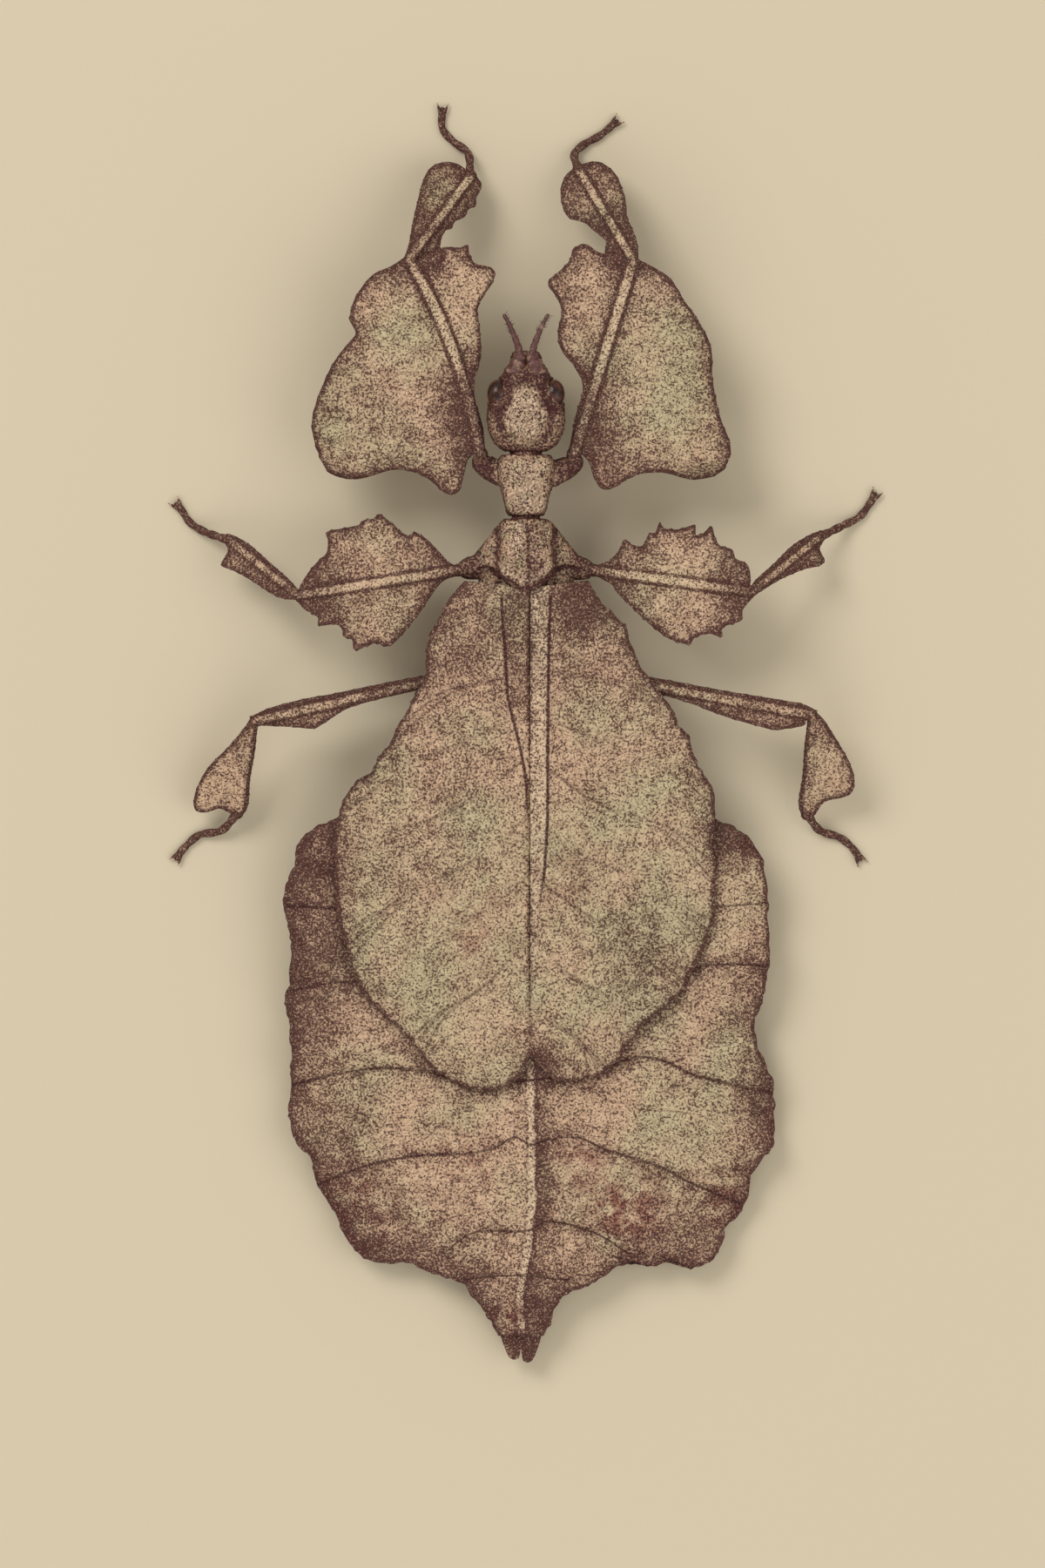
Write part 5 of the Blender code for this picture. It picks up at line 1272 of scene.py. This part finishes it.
def make_eye(side, material):
    """A faceted ellipsoid at the front corner of the head."""
    centres, fine = bmesh.new(), bmesh.new()
    bmesh.ops.create_icosphere(centres, subdivisions=EYE_FACETS, radius=1.0)
    bmesh.ops.create_icosphere(fine, subdivisions=EYE_FINENESS, radius=1.0)
    tree = KDTree(len(centres.verts))
    for k, vert in enumerate(centres.verts):
        tree.insert(vert.co, k)
    tree.balance()
    away = np.array([tree.find(vert.co)[2] for vert in fine.verts])
    away /= away.max()
    x, y, z = EYE_PLACE
    place = np.array([SIDES[side] * x, y, z])
    mesh = bpy.data.meshes.new(f"eye_{side}_lens")
    fine.to_mesh(mesh)
    centres.free()
    fine.free()
    piece = placed(mesh.name, mesh)
    directions = points_of(piece) * MM
    move_points(piece, place + directions * EYE_SIZE * (1 + FACET_RISE * (1 - away**2))[:, None])
    paint(piece, {"facet": away**6})
    dress(piece, material, "eye", f"eye_{side}")


def make_antenna(side, material):
    sign = SIDES[side]
    path = through([(sign * x, y, z) for x, y, z in ANTENNA_LINE], 180)
    place = np.linspace(0, 1, len(path))
    radii = along(ANTENNA_WIDTH, place) * jointed(place, ANTENNA_JOINTS, 0.82, 1.06)
    shells = [tube(path, radii, 22)]
    draw = np.random.default_rng(9)
    for at, turn in draw.uniform((0.3, 0), (0.99, 2 * math.pi), (HAIRS, 2)):
        k = int(at * (len(path) - 1))
        ahead = path[k] - path[k - 1]
        ahead /= np.linalg.norm(ahead)
        side_way = np.cross(ahead, (0, 0, 1))
        out = math.cos(turn) * side_way + math.sin(turn) * np.cross(side_way, ahead)
        tip = path[k] + (radii[k] + HAIR_LENGTH * at) * out + 0.7 * HAIR_LENGTH * ahead
        hair = through([path[k] + 0.6 * radii[k] * out, (path[k] + tip) / 2 + 0.05 * out, tip], 8)
        hair[:, 0] += np.linspace(0, HAIR_LEAN, 8)
        shells.append(tube(hair, np.linspace(0.03, 0.008, 8), 6))
    piece = unite(f"antenna_{side}_skin", shells)
    points = points_of(piece)
    _, at = distance_to(points[:, :2], path[::6, :2])
    crease = np.abs((at * ANTENNA_JOINTS) % 1.0 - 0.5) * 2
    paint(piece, {"maroon": 0.35 + 0.6 * ease(crease, 0.7, 1.0) + 0.3 * ease(at, 0.4, 1.0)})
    dress(piece, material, "feeler", f"antenna_{side}")


def make_mouthparts(material):
    """The shield and lip over the jaws, and the two pairs of palps."""
    shells = [ball(*plate) for plate in MOUTH_PLATES]
    for sign in (1, -1):
        shells += [ball((sign * place[0], *place[1:]), size) for place, size in JAWS]
        for line, joints, width in ((PALP_LINE, 5, 0.21), (LIP_PALP_LINE, 3, 0.16)):
            path = through([(sign * x, y, z) for x, y, z in line], 70)
            shells.append(tube(path, width * jointed(np.linspace(0, 1, 70), joints, 0.78, 1.1), 18))
    piece = unite("mouthparts_skin", shells)
    points, normals = points_of(piece), points_of(piece, "normal")
    relief = 0.02 * waves(points[:, 0] * 3, points[:, 1] * 3 + points[:, 2] * 2, 1.3, 91)
    move_points(piece, points + relief[:, None] * normals)
    x, y, z = points.T
    dark = 0.35 + 0.4 * bell((z - 6.2) / 0.15) + 0.5 * (1 - ease(z, 4.6, 5.4))
    paint(piece, {"maroon": dark, "pale": 0.2 * bell(x / 0.5)})
    dress(piece, material, "body", "mouthparts")


# The stage.
IMAGE = (1200, 1801)
MM_PER_PIXEL = 85 / 1157
AXIS_PIXEL = (604, 839.5)
LENS = 200.0
SENSOR = 36.0
AIM_HEIGHT = 5.0
FLOOR = 4.0
SKY_STRENGTH = 0.57
FAR = 10.0
LIGHTS = [((0.42, -0.46, 0.62), 0.45, 3.8), ((-0.5, 0.15, 0.55), 0.7, 1.6), ((0.1, 0.6, 0.5), 0.6, 1.3)]


def make_stage():
    mesh = bpy.data.meshes.new("floor")
    half = FLOOR / 2
    mesh.from_pydata([(-half, -half, 0), (half, -half, 0), (half, half, 0), (-half, half, 0)], [], [(0, 1, 2, 3)])
    material = bpy.data.materials.new("floor_paint")
    material.use_nodes = True
    shader = material.node_tree.nodes["Principled BSDF"]
    shader.inputs["Base Color"].default_value = (*FLOOR_PAINT, 1.0)
    shader.inputs["Roughness"].default_value = 0.9
    shader.inputs["Specular IOR Level"].default_value = 0.1
    mesh.materials.append(material)
    placed("floor", mesh)


def make_light(place, size, power):
    light = bpy.data.lights.new("studio", "AREA")
    light.shape = "DISK"
    light.size = size
    light.energy = power
    made = placed("studio", light)
    made.location = place
    aim = -made.location
    made.rotation_euler = aim.to_track_quat("-Z", "Y").to_euler()


def make_world():
    world = bpy.data.worlds.new("studio")
    world.use_nodes = True
    background = world.node_tree.nodes["Background"]
    background.inputs["Color"].default_value = (*SKYLIGHT, 1.0)
    background.inputs["Strength"].default_value = SKY_STRENGTH
    bpy.context.scene.world = world
    bpy.context.scene.view_settings.view_transform = "Standard"


def make_camera():
    """Looks straight down with a long lens, the head at the top of the frame."""
    camera = bpy.data.cameras.new("camera")
    camera.lens = LENS
    camera.sensor_width = SENSOR
    camera.clip_end = FAR
    made = placed("camera", camera)
    x = (AXIS_PIXEL[0] - IMAGE[0] / 2) * MM_PER_PIXEL
    y = (IMAGE[1] / 2 - AXIS_PIXEL[1]) * MM_PER_PIXEL
    height = AIM_HEIGHT + LENS / SENSOR * IMAGE[1] * MM_PER_PIXEL
    made.location = (x * MM, y * MM, height * MM)
    made.rotation_euler = (0, 0, math.pi)
    bpy.context.scene.camera = made


def main():
    make_abdomen(leaf_look("abdomen_leaf", 0.05, lines="sutures"))
    tegmen = leaf_look("tegmen_leaf", 0.2, lines="veins")
    leg = leaf_look("leg_leaf", 0.15, 0.03)
    feeler = feeler_look("feeler_skin")
    eye = eye_look("eye_glass")
    body = body_look("body_grain")
    make_body(body)
    make_mouthparts(body)
    for side in SIDES:
        make_wing(side, tegmen)
        make_eye(side, eye)
        make_antenna(side, feeler)
        for kind in HIPS:
            make_leg(kind, side, leg)
    make_stage()
    make_world()
    make_camera()
    for light in LIGHTS:
        make_light(*light)


main()
